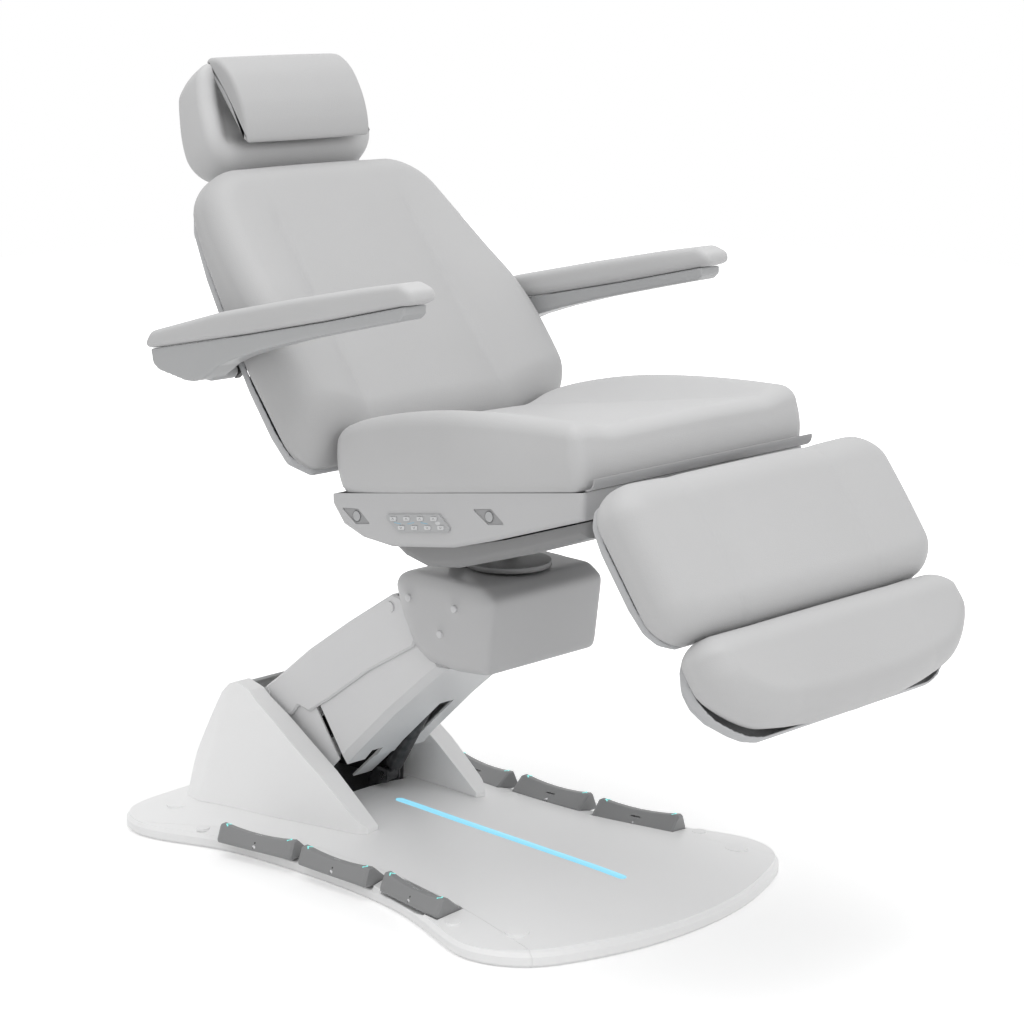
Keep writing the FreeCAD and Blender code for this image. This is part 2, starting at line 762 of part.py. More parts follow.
def tower_frame():
    points = [(tower_foot_front + wall, plate_top), (lower_pivot_y - boss_radius, lower_pivot_z - boss_radius),
              (lower_pivot_y - boss_radius, lower_pivot_z + boss_radius / 2),
              (upper_pivot_y - boss_radius, upper_pivot_z + boss_radius),
              (upper_pivot_y + boss_radius, upper_pivot_z + boss_radius),
              (tower_foot_rear - wall, plate_top)]
    outer_x = tower_frame_inner + tower_frame_thickness
    plates = both(side_plate(points, tower_frame_inner, outer_x, boss_radius / 2))
    box = foot_block(0.0).common(block(-base_half_width, base_half_width, 0.0, base_front, 0.0, floor_top))
    inside = block(-tower_foot_half + wall, tower_foot_half - wall, tower_foot_front + wall,
                   tower_foot_rear - wall, plate_top - overrun, floor_top - wall)
    box = box.cut(inside)
    clevis = [(lift_foot_y + clevis_depth + boss_radius, floor_top - wall),
              (tower_foot_front + edge_break, floor_top - wall), (tower_foot_front + edge_break, base_crown + wall),
              (lift_foot_y - clevis_radius, lift_foot_z - clevis_radius),
              (lift_foot_y - clevis_radius, lift_foot_z + clevis_radius),
              (lift_foot_y + clevis_radius, lift_foot_z + clevis_radius),
              (lift_foot_y + clevis_depth + boss_radius, lift_foot_z - clevis_radius)]
    cheeks = []
    for side in (-1, 1):
        start = lift_x + side * clevis_inner
        end = lift_x + side * (clevis_inner + clevis_plate)
        cheeks.append(side_plate(clevis, min(start, end), max(start, end), clevis_radius / 2))
    frame = fused(plates + [box] + cheeks)
    holes = []
    for y, z in ((upper_pivot_y, upper_pivot_z), (lower_pivot_y, lower_pivot_z)):
        holes.append(cross_rod(-fin_inner, fin_inner, y, z, pivot_pin_radius + running_fit))
    holes.append(cross_rod(-fin_inner, fin_inner, lift_foot_y, lift_foot_z, lift_pin_radius + running_fit))
    return cut(frame, holes)


def base_pins():
    end = tower_frame_inner + tower_frame_thickness + edge_break
    pins = []
    for y, z in ((upper_pivot_y, upper_pivot_z), (lower_pivot_y, lower_pivot_z)):
        pins += both(cross_rod(pin_inner, end, y, z, pivot_pin_radius))
    reach = clevis_inner + clevis_plate + edge_break / 2
    pins.append(cross_rod(lift_x - reach, lift_x + reach, lift_foot_y, lift_foot_z, lift_pin_radius))
    for place in pedal_places:
        pins += both(pedal_placed(pedal_pin(0.0, 0.0), place))
    return together(pins)


# Lifting arm: two parallel links, each with bars, and a cover over and under them

arm_length = math.hypot(arm_reach, arm_rise)
along_y, along_z = -arm_reach / arm_length, arm_rise / arm_length


def link_point(u, v):
    """A point given along and across the arm, from the upper base pivot, as (y, z)."""
    return (upper_pivot_y + along_y * u + along_z * v, upper_pivot_z + along_z * u - along_y * v)


def link_points(points):
    return [link_point(u, v) for u, v in points]


def link_offset(y, z):
    dy, dz = y - upper_pivot_y, z - upper_pivot_z
    return (dy * along_y + dz * along_z, dy * along_z - dz * along_y)


def link_bars(u, v, hole, far_hole):
    half = link_height / 2
    points = link_points([(u - half, v - half), (u + arm_length + half, v - half),
                          (u + arm_length + half, v + half), (u - half, v + half)])
    bar = side_plate(points, link_inner, link_inner + link_thickness, half)
    near = cross_rod(pin_inner, fin_inner, *link_point(u, v), hole)
    far = cross_rod(pin_inner, fin_inner, *link_point(u + arm_length, v), far_hole)
    return both(cut(bar, [near, far]))


def upper_link_bars():
    hole = pivot_pin_radius + running_fit
    bars = link_bars(0.0, 0.0, hole, hole)
    tie_u, eye_v = link_offset(lift_head_y, lift_head_z)
    tie = cross_rod(-link_inner, link_inner, *link_point(tie_u, 0.0), lift_tie_radius)
    outline = link_points([(tie_u - clevis_radius, eye_v - clevis_radius), (tie_u + clevis_radius, eye_v - clevis_radius),
                           (tie_u + lift_tie_radius, 0.0), (tie_u - lift_tie_radius, 0.0)])
    cheeks = []
    for side in (-1, 1):
        x0 = lift_x + side * (clevis_inner - edge_break / 2)
        x1 = x0 + side * (clevis_plate - edge_break / 2)
        cheeks.append(side_plate(outline, min(x0, x1), max(x0, x1), clevis_radius / 2))
    frame = fused(bars + [tie] + cheeks)
    frame = frame.cut(cross_rod(0.0, link_inner, lift_head_y, lift_head_z, lift_pin_radius + running_fit))
    reach = clevis_inner + clevis_plate - edge_break
    pin = cross_rod(lift_x - reach, lift_x + reach, lift_head_y, lift_head_z, lift_pin_radius)
    return together([frame, pin])


def lower_link_bars():
    u, v = link_offset(lower_pivot_y, lower_pivot_z)
    return together(link_bars(u, v, pivot_pin_radius + running_fit, pivot_pin_radius + link_slack))


def upper_arm_cover():
    points = link_points(sized(upper_cover_shares, (0.0, 0.0), (arm_length, upper_cover_depth)))
    outer = bevelled_plate(points, arm_cover_half, edge_break * 2, edge_break * 4)
    top = sized(upper_cover_skin_shares, (0.0, 0.0), (arm_length, upper_cover_depth))
    inner = side_plate(link_points(top), -arm_cover_half + wall, arm_cover_half - wall)
    cover = outer.cut(inner)
    blocks = []
    half = link_height / 2
    for share in upper_cover_block_shares:
        u = share * arm_length
        foot = link_points([(u, half + gap), (u + half, half + gap), (u + half, upper_cover_depth - wall),
                            (u, upper_cover_depth - wall)])
        blocks += both(side_plate(foot, link_inner, link_inner + link_thickness))
    cover = fused([cover] + [b.common(outer) for b in blocks])
    caps, seats = arm_caps(arm_cover_half, upper_cap_places)
    notch = link_points([(-arm_length / 8, upper_cover_depth / 4), (0.0, upper_cover_depth / 4),
                         (0.0, -2 * upper_cover_depth), (-arm_length / 8, -2 * upper_cover_depth)])
    notches = both(side_plate(notch, tower_frame_inner - edge_break,
                              tower_frame_inner + tower_frame_thickness + edge_break))
    cover = cut(cover, seats + notches)
    return together([cover] + caps)


def arm_caps(half, places):
    caps, seats = [], []
    for y, z in places:
        caps += both(cross_rod(half - cap_seat, half + cap_height, y, z, cap_diameter / 2))
        seats += both(cross_rod(half - cap_seat, half + overrun, y, z, cap_diameter / 2 + gap / 2))
    return caps, seats


def lower_arm_cover():
    u, v = link_offset(lower_pivot_y, lower_pivot_z)
    points = sized(lower_cover_shares, (0.0, 0.0), (arm_length, lower_cover_depth))
    outer = bevelled_plate(link_points(points), lower_cover_half, arm_bevel)
    hollow = sized(lower_cover_hollow_shares, (0.0, 0.0), (arm_length, lower_cover_depth))
    inner = bevelled_plate(link_points(hollow), lower_cover_half - wall, arm_bevel - edge_break)
    cover = outer.cut(inner)
    tongue = sized(tongue_shares, (0.0, 0.0), (arm_length, lower_cover_depth))
    cover = fused([cover, side_plate(link_points(tongue), -notch_left, notch_right)])
    notches = []
    for x0, x1, reach in ((-notch_left_outer, -notch_left, notch_left_reach),
                          (notch_right, notch_right_outer, notch_right_reach)):
        slot = [(-arm_length / 2, -2 * lower_cover_depth), (reach, -2 * lower_cover_depth), (reach, v - link_height),
                (-arm_length / 2, v - link_height)]
        notches.append(side_plate(link_points(slot), x0, x1))
    cover = cover.cut(together(notches))
    bosses = []
    for share in lower_cover_boss_shares:
        y, z = link_point(share * arm_length, v)
        bosses += both(cross_rod(link_inner + link_thickness + gap, lower_cover_half - wall / 2, y, z, lift_pin_radius))
    return max(fused([cover] + bosses).Solids, key=lambda s: s.Volume)


def lift_axis(share):
    dy, dz = lift_head_y - lift_foot_y, lift_head_z - lift_foot_z
    length = math.hypot(dy, dz)
    return Vector(lift_x, lift_foot_y + dy / length * share, lift_foot_z + dz / length * share)


def lift_actuator():
    """A spindle drive: a tube with its motor beside it, and a rod that ends in an open eye."""
    eye = cross_rod(lift_x - clevis_inner + edge_break / 2, lift_x + clevis_inner - edge_break / 2, lift_foot_y,
                    lift_foot_z, clevis_radius)
    neck = rod(lift_axis(clevis_radius / 2), lift_axis(lift_tube_start + overrun), clevis_radius / 2)
    tube = rod(lift_axis(lift_tube_start), lift_axis(lift_tube_end), lift_tube_radius)
    start, end = lift_axis(lift_tube_start), lift_axis(lift_motor_end)
    direction = (end - start).normalize()
    aside = Vector(0, -direction.z, direction.y) * (lift_tube_radius * 2)
    if aside.z < 0:
        aside = aside * -1
    motor = rod(start + aside, end + aside, lift_motor_radius)
    bridge = rod(start + aside * 0.1, start + aside * 0.9, lift_tube_radius * 0.6)
    bridge.translate(direction * lift_tube_radius)
    body = fused([eye, neck, tube, motor, bridge])
    bore = rod(lift_axis(lift_tube_start + lift_tube_radius), lift_axis(lift_tube_end + overrun),
               lift_rod_radius + running_fit)
    hole = cross_rod(-fin_inner, fin_inner, lift_foot_y, lift_foot_z, lift_pin_radius + running_fit)
    body = cut(body, [bore, hole])
    length = math.hypot(lift_head_y - lift_foot_y, lift_head_z - lift_foot_z)
    shaft = rod(lift_axis(lift_rod_start), lift_axis(length), lift_rod_radius)
    head = cross_rod(lift_x - clevis_inner + 2 * edge_break, lift_x + clevis_inner - 2 * edge_break, lift_head_y,
                     lift_head_z, lift_eye_radius)
    shaft = fused([shaft, head])
    shaft = shaft.cut(cross_rod(-fin_inner, fin_inner, lift_head_y, lift_head_z, lift_pin_radius + lift_slack))
    return body, shaft


# Head of the arm: a cover with broad bevels over a steel frame, and the turntable on top

def head_cover():
    points = sized(head_side_shares, (head_front, head_bottom), (head_rear - head_front, head_top - head_bottom))
    outer = broad_bevel(points, head_half, head_bevel, head_bevel_depth)
    inner = broad_bevel(inset(points, wall), head_half - wall, head_bevel, head_bevel_depth)
    mouth = block(-head_mouth_half, head_mouth_half, head_mouth_front, head_rear + overrun, head_bottom - overrun,
                  head_mouth_top)
    hub = Part.makeCylinder(hub_radius + gap, 4 * hub_radius, Vector(0, swivel_y, head_bottom + hub_radius))
    cover = cut(outer, [inner, mouth, hub])
    caps, seats = [], []
    for y, z in head_cap_places:
        caps += both(cross_rod(head_half - cap_seat, head_half + 2 * cap_height, y, z, cap_diameter / 2))
        seats += both(cross_rod(head_half - cap_seat, head_half + 2 * overrun, y, z, cap_diameter / 2 + gap / 2))
    return together([cut(cover, seats)] + caps)


def broad_bevel(points, half, width, depth):
    small = inset(points, width)
    wires = [side_wire(small, -half, head_corner), side_wire(points, -half + depth, head_corner),
             side_wire(points, half - depth, head_corner), side_wire(small, half, head_corner)]
    return loft(wires, True)


def head_frame():
    upper_y, upper_z = upper_pivot_y - arm_reach, upper_pivot_z + arm_rise
    lower_y, lower_z = lower_pivot_y - arm_reach, lower_pivot_z + arm_rise
    top = head_plate_z
    rear = upper_y + boss_radius * 0.8
    front = swivel_y - hub_radius - 2 * edge_break
    points = [(rear, upper_z - boss_radius * 0.3), (rear, top), (front, top), (front, top - hub_radius / 2),
              (lower_y - boss_radius, lower_z - boss_radius), (lower_y + boss_radius, lower_z - boss_radius)]
    plates = both(side_plate(points, head_plate_inner, head_plate_inner + head_plate_thickness, boss_radius / 3))
    half = head_plate_inner + head_plate_thickness
    table = block(-half, half, front, rear, top - head_plate_thickness, top)
    hub = Part.makeCylinder(hub_radius, hub_top - top + head_plate_thickness,
                            Vector(0, swivel_y, top - head_plate_thickness))
    frame = fused(plates + [table, hub])
    bore = Part.makeCylinder(post_radius + running_fit, 4 * hub_radius, Vector(0, swivel_y, top - 2 * hub_radius))
    holes = [bore]
    pins = []
    for y, z in ((upper_y, upper_z), (lower_y, lower_z)):
        holes.append(cross_rod(-fin_inner, fin_inner, y, z, pivot_pin_radius + running_fit))
        start = head_plate_inner - overrun
        pins += both(cross_rod(start, pin_inner + head_pin_length, y, z, pivot_pin_radius))
    return together([cut(frame, holes)] + pins)


def turntable():
    """The swivelling disc with the ears and the slotted lever that the seat tilts on."""
    disc = Part.makeCylinder(disc_radius, disc_thickness, Vector(0, swivel_y, disc_bottom))
    post = Part.makeCylinder(post_radius, disc_bottom - head_plate_z + 2 * head_plate_thickness,
                             Vector(0, swivel_y, head_plate_z - 2 * head_plate_thickness))
    low = disc_bottom + disc_thickness / 2
    ear = [(tilt_y - tilt_ear, low), (tilt_y + tilt_ear, low), (tilt_y + tilt_ear, tilt_z + tilt_ear * 0.7),
           (tilt_y - tilt_ear, tilt_z + tilt_ear * 0.7)]
    ears = both(side_plate(ear, tilt_ear_inner, tilt_ear_inner + tilt_ear_thickness, tilt_ear / 2))
    bridge = block(-tilt_ear_inner - tilt_ear_thickness, tilt_ear_inner + tilt_ear_thickness, swivel_y,
                   tilt_y + tilt_ear, disc_bottom, disc_bottom + disc_thickness)
    levers = slotted_lever(tilt_y, tilt_z, 0.0, tilt_lever_height, 180.0)
    leg = block(-lever_inner - lever_thickness, lever_inner + lever_thickness, tilt_y - tilt_ear, tilt_y + tilt_ear,
                low, tilt_z - lever_half)
    table = fused([disc, post, bridge, leg] + ears + levers)
    table = table.cut(cross_rod(-fin_inner, fin_inner, tilt_y, tilt_z, hinge_pin_radius + running_fit))
    pins = both(cross_rod(tilt_ear_inner - overrun, tilt_ear_inner + 2 * tilt_ear_thickness + 2 * edge_break, tilt_y,
                          tilt_z, hinge_pin_radius))
    return together([table] + pins)


def slotted_lever(y, z, x, height, angle):
    """Two cheeks that hang from a hinge at an angle from straight down, with a slot for a drive pin."""
    reach = height / math.cos(math.radians(lever_sweep))
    inner = height - 2 * lever_pin_radius - lever_slack
    outer = reach + lever_pin_radius + lever_slack
    slot_half = lever_pin_radius + lever_slack

    def turned(points):
        turn = math.radians(angle)
        return [(y + a * math.sin(turn) + b * math.cos(turn), z - a * math.cos(turn) + b * math.sin(turn))
                for a, b in points]

    arm = turned([(-lever_half, -lever_half), (outer + wall, -lever_half), (outer + wall, lever_half),
                  (-lever_half, lever_half)])
    slot = turned([(inner, -slot_half), (outer, -slot_half), (outer, slot_half), (inner, slot_half)])
    cheeks = []
    for side in (-1, 1):
        x0 = x + side * lever_inner
        x1 = x0 + side * lever_thickness
        low, high = min(x0, x1), max(x0, x1)
        cheek = side_plate(arm, low, high, lever_half * 0.9)
        cheeks.append(cheek.cut(side_plate(slot, low - overrun, high + overrun, slot_half * 0.9)))
    return cheeks


def drive(y, z, x, toward, body_start, body_length, height_shift):
    """A spindle drive that lies level: a fixed body and a rod with a cross pin."""
    start = y + toward * body_start
    end = start + toward * body_length
    body = rod(Vector(x, start, z), Vector(x, end, z), drive_radius)
    motor = rod(Vector(x, end - toward * drive_motor_length, z + height_shift),
                Vector(x, end, z + height_shift), drive_motor_radius)
    body = fused([body, motor])
    body = body.cut(rod(Vector(x, start - toward * overrun, z), Vector(x, end - toward * wall, z),
                        drive_rod_radius + running_fit))
    shaft = rod(Vector(x, y, z), Vector(x, start + toward * body_length * drive_rod_share, z), drive_rod_radius)
    reach = lever_inner + lever_thickness + edge_break
    pin = cross_rod(x - reach, x + reach, y, z, lever_pin_radius)
    return body, fused([shaft, pin])


# Tilted frames: each turns (x, along, out) into a point in space

def local_frame(y, z, degrees, turn):
    ay, az = math.cos(math.radians(degrees)), math.sin(math.radians(degrees))
    oy, oz = -turn * az, turn * ay

    def place(x, along, out):
        return Vector(x, y + ay * along + oy * out, z + az * along + oz * out)
    return place


def local_of(place, y, z):
    """The (along, out) of a point given as (y, z)."""
    start, a, o = place(0.0, 0.0, 0.0), place(0.0, 1.0, 0.0), place(0.0, 0.0, 1.0)
    a, o = a - start, o - start
    away = Vector(0.0, y, z) - start
    return away.dot(a), away.dot(o)


seat = local_frame(seat_rear_y, seat_rear_z, 180.0 - seat_tilt, -1)
back = local_frame(back_y, back_z, 90.0 - back_lean, 1)
leg = local_frame(leg_y, leg_z, 270.0 - leg_lean, -1)


def local_plate(place, points, x0, x1, radii=0.0):
    edges = rounded_edges(points, radii, lambda a, o: place(x0, a, o))
    return Part.Face(Part.Wire(edges)).extrude(Vector(x1 - x0, 0, 0))


def local_block(place, x0, x1, a0, a1, o0, o1):
    return local_plate(place, [(a0, o0), (a1, o0), (a1, o1), (a0, o1)], x0, x1)


def local_rod(place, x, a0, a1, out, radius):
    return rod(place(x, a0, out), place(x, a1, out), radius)


def pad_section(place, along, lean, rear, front, base, top, wing, seam, crest):
    """One closed section: a crowned middle, two swelling wings, drawn-in sides and a flat back."""
    depth = top + wing - base
    crest = min(crest, 0.42 * depth)
    foot = min(foot_round, 0.2 * depth)

    def point(x, out):
        return place(x, along + lean * (top + wing - out) / depth, out)

    def arc(p, q, r):
        return Part.Arc(point(*p), point(*q), point(*r)).toShape()

    seam = min(seam, front - 1.6 * crest)
    dip = top - channel_depth
    shoulder = front - crest
    swell = max(wing, 0.0) * 0.25
    side_top = (front, top + wing - crest)
    side_low = (rear, base + foot)
    middle = ((front + rear) / 2 - side_draw, (side_top[1] + side_low[1]) / 2)
    bend = crest * 0.293
    edges = [arc((-seam, dip), (0.0, top + panel_crown), (seam, dip)),
             arc((seam, dip), ((seam + shoulder) / 2, (dip + top + wing) / 2 + swell + channel_depth / 2),
                 (shoulder, top + wing)),
             arc((shoulder, top + wing), (front - bend, top + wing - bend), side_top),
             arc(side_top, middle, side_low),
             arc(side_low, (rear - foot * 0.293, base + foot * 0.293), (rear - foot, base)),
             Part.makeLine(point(rear - foot, base), point(-rear + foot, base)),
             arc((-rear + foot, base), (-rear + foot * 0.293, base + foot * 0.293), (-rear, base + foot)),
             arc((-rear, base + foot), (-middle[0], middle[1]), (-front, side_top[1])),
             arc((-front, side_top[1]), (-front + bend, top + wing - bend), (-shoulder, top + wing)),
             arc((-shoulder, top + wing), (-(seam + shoulder) / 2,
                 (dip + top + wing) / 2 + swell + channel_depth / 2), (-seam, dip))]
    return Part.Wire(edges)


def between(stations, share):
    for low, high in zip(stations, stations[1:]):
        if share <= high[0]:
            part = max(0.0, (share - low[0]) / (high[0] - low[0]))
            return [a + (b - a) * part for a, b in zip(low[1:], high[1:])]
    return list(stations[-1][1:])


def rounding(distance, radius):
    if distance >= radius:
        return 0.0
    return radius - math.sqrt(radius ** 2 - (radius - distance) ** 2)


def pad(place, start, long, half, base, top, stations, seam, end_round, plan_round, crest, lean=0.0):
    """A cushion lofted through sections, rounded off at both ends."""
    depth = top - base
    distances = [share * plan_round for share in end_step_shares]
    steps = distances + [s * long for s in middle_step_shares] + [long - d for d in reversed(distances)]
    wires = []
    for step in steps:
        rear, front, wing = between(stations, step / long)
        edge = min(step, long - step)
        narrow = rounding(edge, plan_round) * 0.8
        lower = rounding(edge, end_round) * 0.8
        tip = max(0.0, 1.0 - step / (0.22 * long)) * lean
        wires.append(pad_section(place, start + step, -tip, rear * half - narrow, front * half - narrow, base,
                                 top - lower, wing * depth - (lower * 0.3 if wing else 0.0), seam, crest))
    return loft(wires)


def soft_prism(points, half, radius, top_count=0):
    """A side outline across the width, its flank edges rounded but for the last edges of the outline."""
    body = side_plate(points, -half, half)
    keep = []
    count = len(points)
    for i in range(count - 1 - top_count):
        (ay, az), (by, bz) = points[i], points[i + 1]
        for x in (-half, half):
            middle = Vector(x, (ay + by) / 2, (az + bz) / 2)
            for edge in body.Edges:
                if edge.CenterOfMass.distanceToPoint(middle) < edge_break / 4:
                    keep.append(edge)
    return body.makeFillet(radius, keep)


def pad_shell(place, start, long, half, stations, base, depth, plan_round, lean=0.0):
    """A hard shell behind a cushion, as a tray with its outline a little inside the cushion's."""
    def outline(shrink, out, grow=0.0):
        points = []
        drop = lean * min(1.0, (out * -1.0) / (back_pad + shell_depth)) if lean else 0.0
        first, last = start + shrink - drop, start + long - shrink
        right = []
        for share in shell_step_shares:
            rear = between(stations, share)[0] * half
            along = first + (last - first) * share
            edge = min(along - first, last - along)
            right.append((rear - shrink - rounding(edge, plan_round) * 0.75, along))
        points = right + [(-x, a) for x, a in reversed(right)]
        return Part.Wire(rounded_edges(points, plan_round / 6, lambda x, a: place(x, a, out)))
    outer = loft([outline(shell_inset / 2, base - gap), outline(shell_inset / 2, base - depth / 2),
                  outline(2.5 * shell_inset, base - depth)], True)
    inner = loft([outline(shell_inset / 2 + wall, base + overrun), outline(shell_inset / 2 + wall, base - depth / 2),
                  outline(2.5 * shell_inset + wall, base - depth + wall)], True)
    return outer.cut(inner)


# Seat group

def seat_cushion():
    stations = [(s, 1.0, 0.985, w) for s, w in seat_wing_shares]
    return pad(seat, 0.0, seat_long, seat_half, 0.0, seat_pad, stations, seat_bolster_foot, seat_end_round,
               seat_plan_round, crest_round)


def cover_outline(raised=0.0):
    rear, tall = seat_rear_y + overrun, seat_cover_tall
    points = [(rear + a * seat_long, seat_rear_z + b * tall - gap) for a, b in seat_cover_shares]
    if raised:
        points = points[:-2] + [(y, z + raised) for y, z in points[-2:]]
    return points


def seat_cover():
    outer = soft_prism(cover_outline(), cover_half, cover_bevel, 1)
    inner = side_plate(inset(cover_outline(seat_pad), wall), -cover_half + wall, cover_half - wall)
    floor_hole = block(-cover_open_half, cover_open_half, cover_open_front, cover_open_rear,
                       seat_rear_z - base_front, seat_rear_z + 2 * overrun)
    skin = cut(outer, [inner, floor_hole])
    slots = []
    lever_side = lever_inner + lever_thickness + 2 * edge_break
    slots.append(block(back_drive_x - lever_side, back_drive_x + lever_side, -overrun * 8, overrun * 2,
                       seat_rear_z - seat_cover_tall / 2, seat_rear_z + overrun))
    front_y = seat_rear_y - seat_long
    for side in (-1, 1):
        x = side * (leg_lug_inner + lug_thickness * 1.5 + gap)
        slots.append(block(x - lug_thickness, x + lug_thickness, front_y - overrun, front_y + 8 * overrun,
                           leg_hinge_z - 2 * lug_radius, leg_hinge_z + lug_radius + edge_break))
        x = side * (back_frame_inner + lug_thickness * 1.5 + gap)
        slots.append(block(x - lug_thickness, x + lug_thickness, -overrun * 4, overrun * 2,
                           seat_rear_z - seat_cover_tall / 4, seat_rear_z + overrun))
    discs = []
    for pocket in socket_pockets:
        y = sum(p[0] for p in pocket) / len(pocket)
        z = sum(p[1] for p in pocket) / len(pocket)
        cutter = side_plate(pocket, cover_half - socket_depth, cover_half + overrun, edge_break)
        slots += both(cutter)
        discs += both(cross_rod(cover_half - socket_depth, cover_half - socket_depth + edge_break, y, z,
                                socket_disc_radius))
    skin = skin.cut(together(slots))
    skin = max(skin.Solids, key=lambda s: s.Volume)
    return together([skin] + discs)


def pan_outline(raised=0.0):
    points = sized(under_pan_shares, (seat_rear_y, seat_rear_z), (seat_long, seat_cover_tall))
    count = pan_top_count
    return points[:-count] + [(y, z + raised) for y, z in points[-count:]]


def under_pan():
    outer = soft_prism(pan_outline(), pan_half, pan_bevel, pan_top_count - 1)
    inner = side_plate(inset(pan_outline(seat_pad), wall), -pan_half + 2 * wall, pan_half - 2 * wall)
    side = drive_rod_radius * 2
    slot = block(leg_drive_x - side, leg_drive_x + side, -seat_long, -seat_long * 0.85,
                 leg_hinge_z - leg_lever_height - side, leg_hinge_z)
    pan = cut(outer, [inner, slot])
    return max(pan.Solids, key=lambda s: s.Volume)


def seat_frame():
    start, end = rail_shares[0] * seat_long, rail_shares[1] * seat_long
    top, low = -rail_drop, -rail_drop - rail_height
    rails = both(local_block(seat, rail_inner, rail_inner + rail_width, start, end, low, top))
    bars = [local_block(seat, -rail_inner - edge_break, rail_inner + edge_break, a * seat_long, b * seat_long,
                        top - bar_thickness, top) for a, b in bar_shares]
    pieces = rails + bars
    ear = [(tilt_y - tilt_ear, tilt_z - tilt_ear * 0.8), (tilt_y + tilt_ear, tilt_z - tilt_ear * 0.8),
           (tilt_y + tilt_ear, seat_rear_z - rail_drop), (tilt_y - tilt_ear, seat_rear_z - rail_drop)]
    outer_ear = tilt_ear_inner + tilt_ear_thickness + gap
    pieces += both(side_plate(ear, outer_ear, outer_ear + tilt_ear_thickness, tilt_ear / 2))
    rail_y = seat_rear_y - start
    lug = [(rail_y - 6 * overrun, seat_rear_z - rail_height), (rail_y - 6 * overrun, seat_rear_z - rail_drop),
           (seat_rear_y - overrun, seat_rear_z - rail_drop - edge_break), (back_hinge_y - lug_radius * 1.6, seat_rear_z),
           (back_hinge_y - lug_radius, back_hinge_z + lug_radius), (back_hinge_y + lug_radius, back_hinge_z + lug_radius),
           (back_hinge_y + lug_radius, back_hinge_z - lug_radius), (seat_rear_y, seat_rear_z - rail_height - overrun)]
    lug_x = back_frame_inner + lug_thickness + gap
    pieces += both(side_plate(lug, lug_x, lug_x + lug_thickness, lug_radius * 0.7))
    front = seat(0.0, seat_long * bar_shares[-1][0], top - bar_thickness / 2)
    arm = [(front.y, front.z - 2 * lug_radius), (front.y, front.z + overrun * 0.6),
           (front.y - 2 * overrun, front.z + overrun * 0.6), (seat_rear_y - seat_long * 0.985, leg_hinge_z + lug_radius),
           (leg_hinge_y - lug_radius, leg_hinge_z + lug_radius), (leg_hinge_y - lug_radius, leg_hinge_z - lug_radius),
           (seat_rear_y - seat_long * 0.94, leg_hinge_z - lug_radius)]
    lug_x = leg_lug_inner + lug_thickness + gap
    pieces += both(side_plate(arm, lug_x, lug_x + lug_thickness, lug_radius * 0.5))
    for x, y, z in saddles():
        deep = block(x - saddle_half, x + saddle_half, y - saddle_half, y + saddle_half, z, seat_rear_z + seat_pad)
        under = local_block(seat, -seat_half, seat_half, -overrun, seat_long, -base_front, top - edge_break)
        pieces.append(deep.common(under))
    frame = fused(pieces)
    holes = [cross_rod(-seat_half, seat_half, y, z, hinge_pin_radius + running_fit)
             for y, z in ((tilt_y, tilt_z), (back_hinge_y, back_hinge_z), (leg_hinge_y, leg_hinge_z))]
    frame = cut(frame, holes)
    pins = both(cross_rod(back_frame_inner - edge_break, back_frame_inner + 2 * lug_thickness + edge_break, back_hinge_y,
                          back_hinge_z, hinge_pin_radius))
    pins += both(cross_rod(leg_lug_inner - edge_break, leg_lug_inner + 2 * lug_thickness + edge_break, leg_hinge_y,
                           leg_hinge_z, hinge_pin_radius))
    return together([frame] + pins)


def saddles():
    """Where each level drive hangs from a cross bar: (x, y, height of the drive's top)."""
    places = []
    for x, z, share in ((0.0, tilt_z + tilt_lever_height + 2 * drive_radius - edge_break + drive_motor_radius,
                         bar_shares[1]),
                        (back_drive_x, back_hinge_z - back_lever_height + drive_radius, bar_shares[0]),
                        (leg_drive_x, leg_hinge_z - leg_lever_height + drive_radius, bar_shares[2])):
        middle = seat(0.0, seat_long * (share[0] + share[1]) / 2, 0.0)
        places.append((x, middle.y, z + gap))
    return places


def key_place(column, row):
    (ay, az), (by, bz), (cy, cz), (dy, dz) = panel_corners
    top = (ay + (by - ay) * column, az + (bz - az) * column)
    low = (dy + (cy - dy) * column, dz + (cz - dz) * column)
    return top[0] + (low[0] - top[0]) * row, top[1] + (low[1] - top[1]) * row


def key_outline(column, row, grow):
    y, z = key_place(column, row)
    (ay, az), (by, bz) = panel_corners[0], panel_corners[1]
    length = math.hypot(by - ay, bz - az)
    ey, ez = (by - ay) / length, (bz - az) / length
    a, b = key_length / 2 + grow, key_height / 2 + grow
    return [(y + ey * s * a - ez * t * b, z + ez * s * a + ey * t * b) for s, t in ((-1, -1), (1, -1), (1, 1), (-1, 1))]


def control_panel():
    outer = -cover_half - gap - panel_thickness
    plate = side_plate(panel_corners, outer, -cover_half - gap, 3 * edge_break)
    holes, keys = [], {}
    for number, column in enumerate(key_column_shares, 1):
        for row_name, row in key_row_shares:
            holes.append(side_plate(key_outline(column, row, gap), outer - overrun, overrun - cover_half, edge_break))
            key = side_plate(key_outline(column, row, 0.0), outer - key_proud, -cover_half - gap - key_travel - gap / 2,
                             edge_break)
            keys["key_{}_{}".format(number, row_name)] = key
    return plate.cut(together(holes)), keys


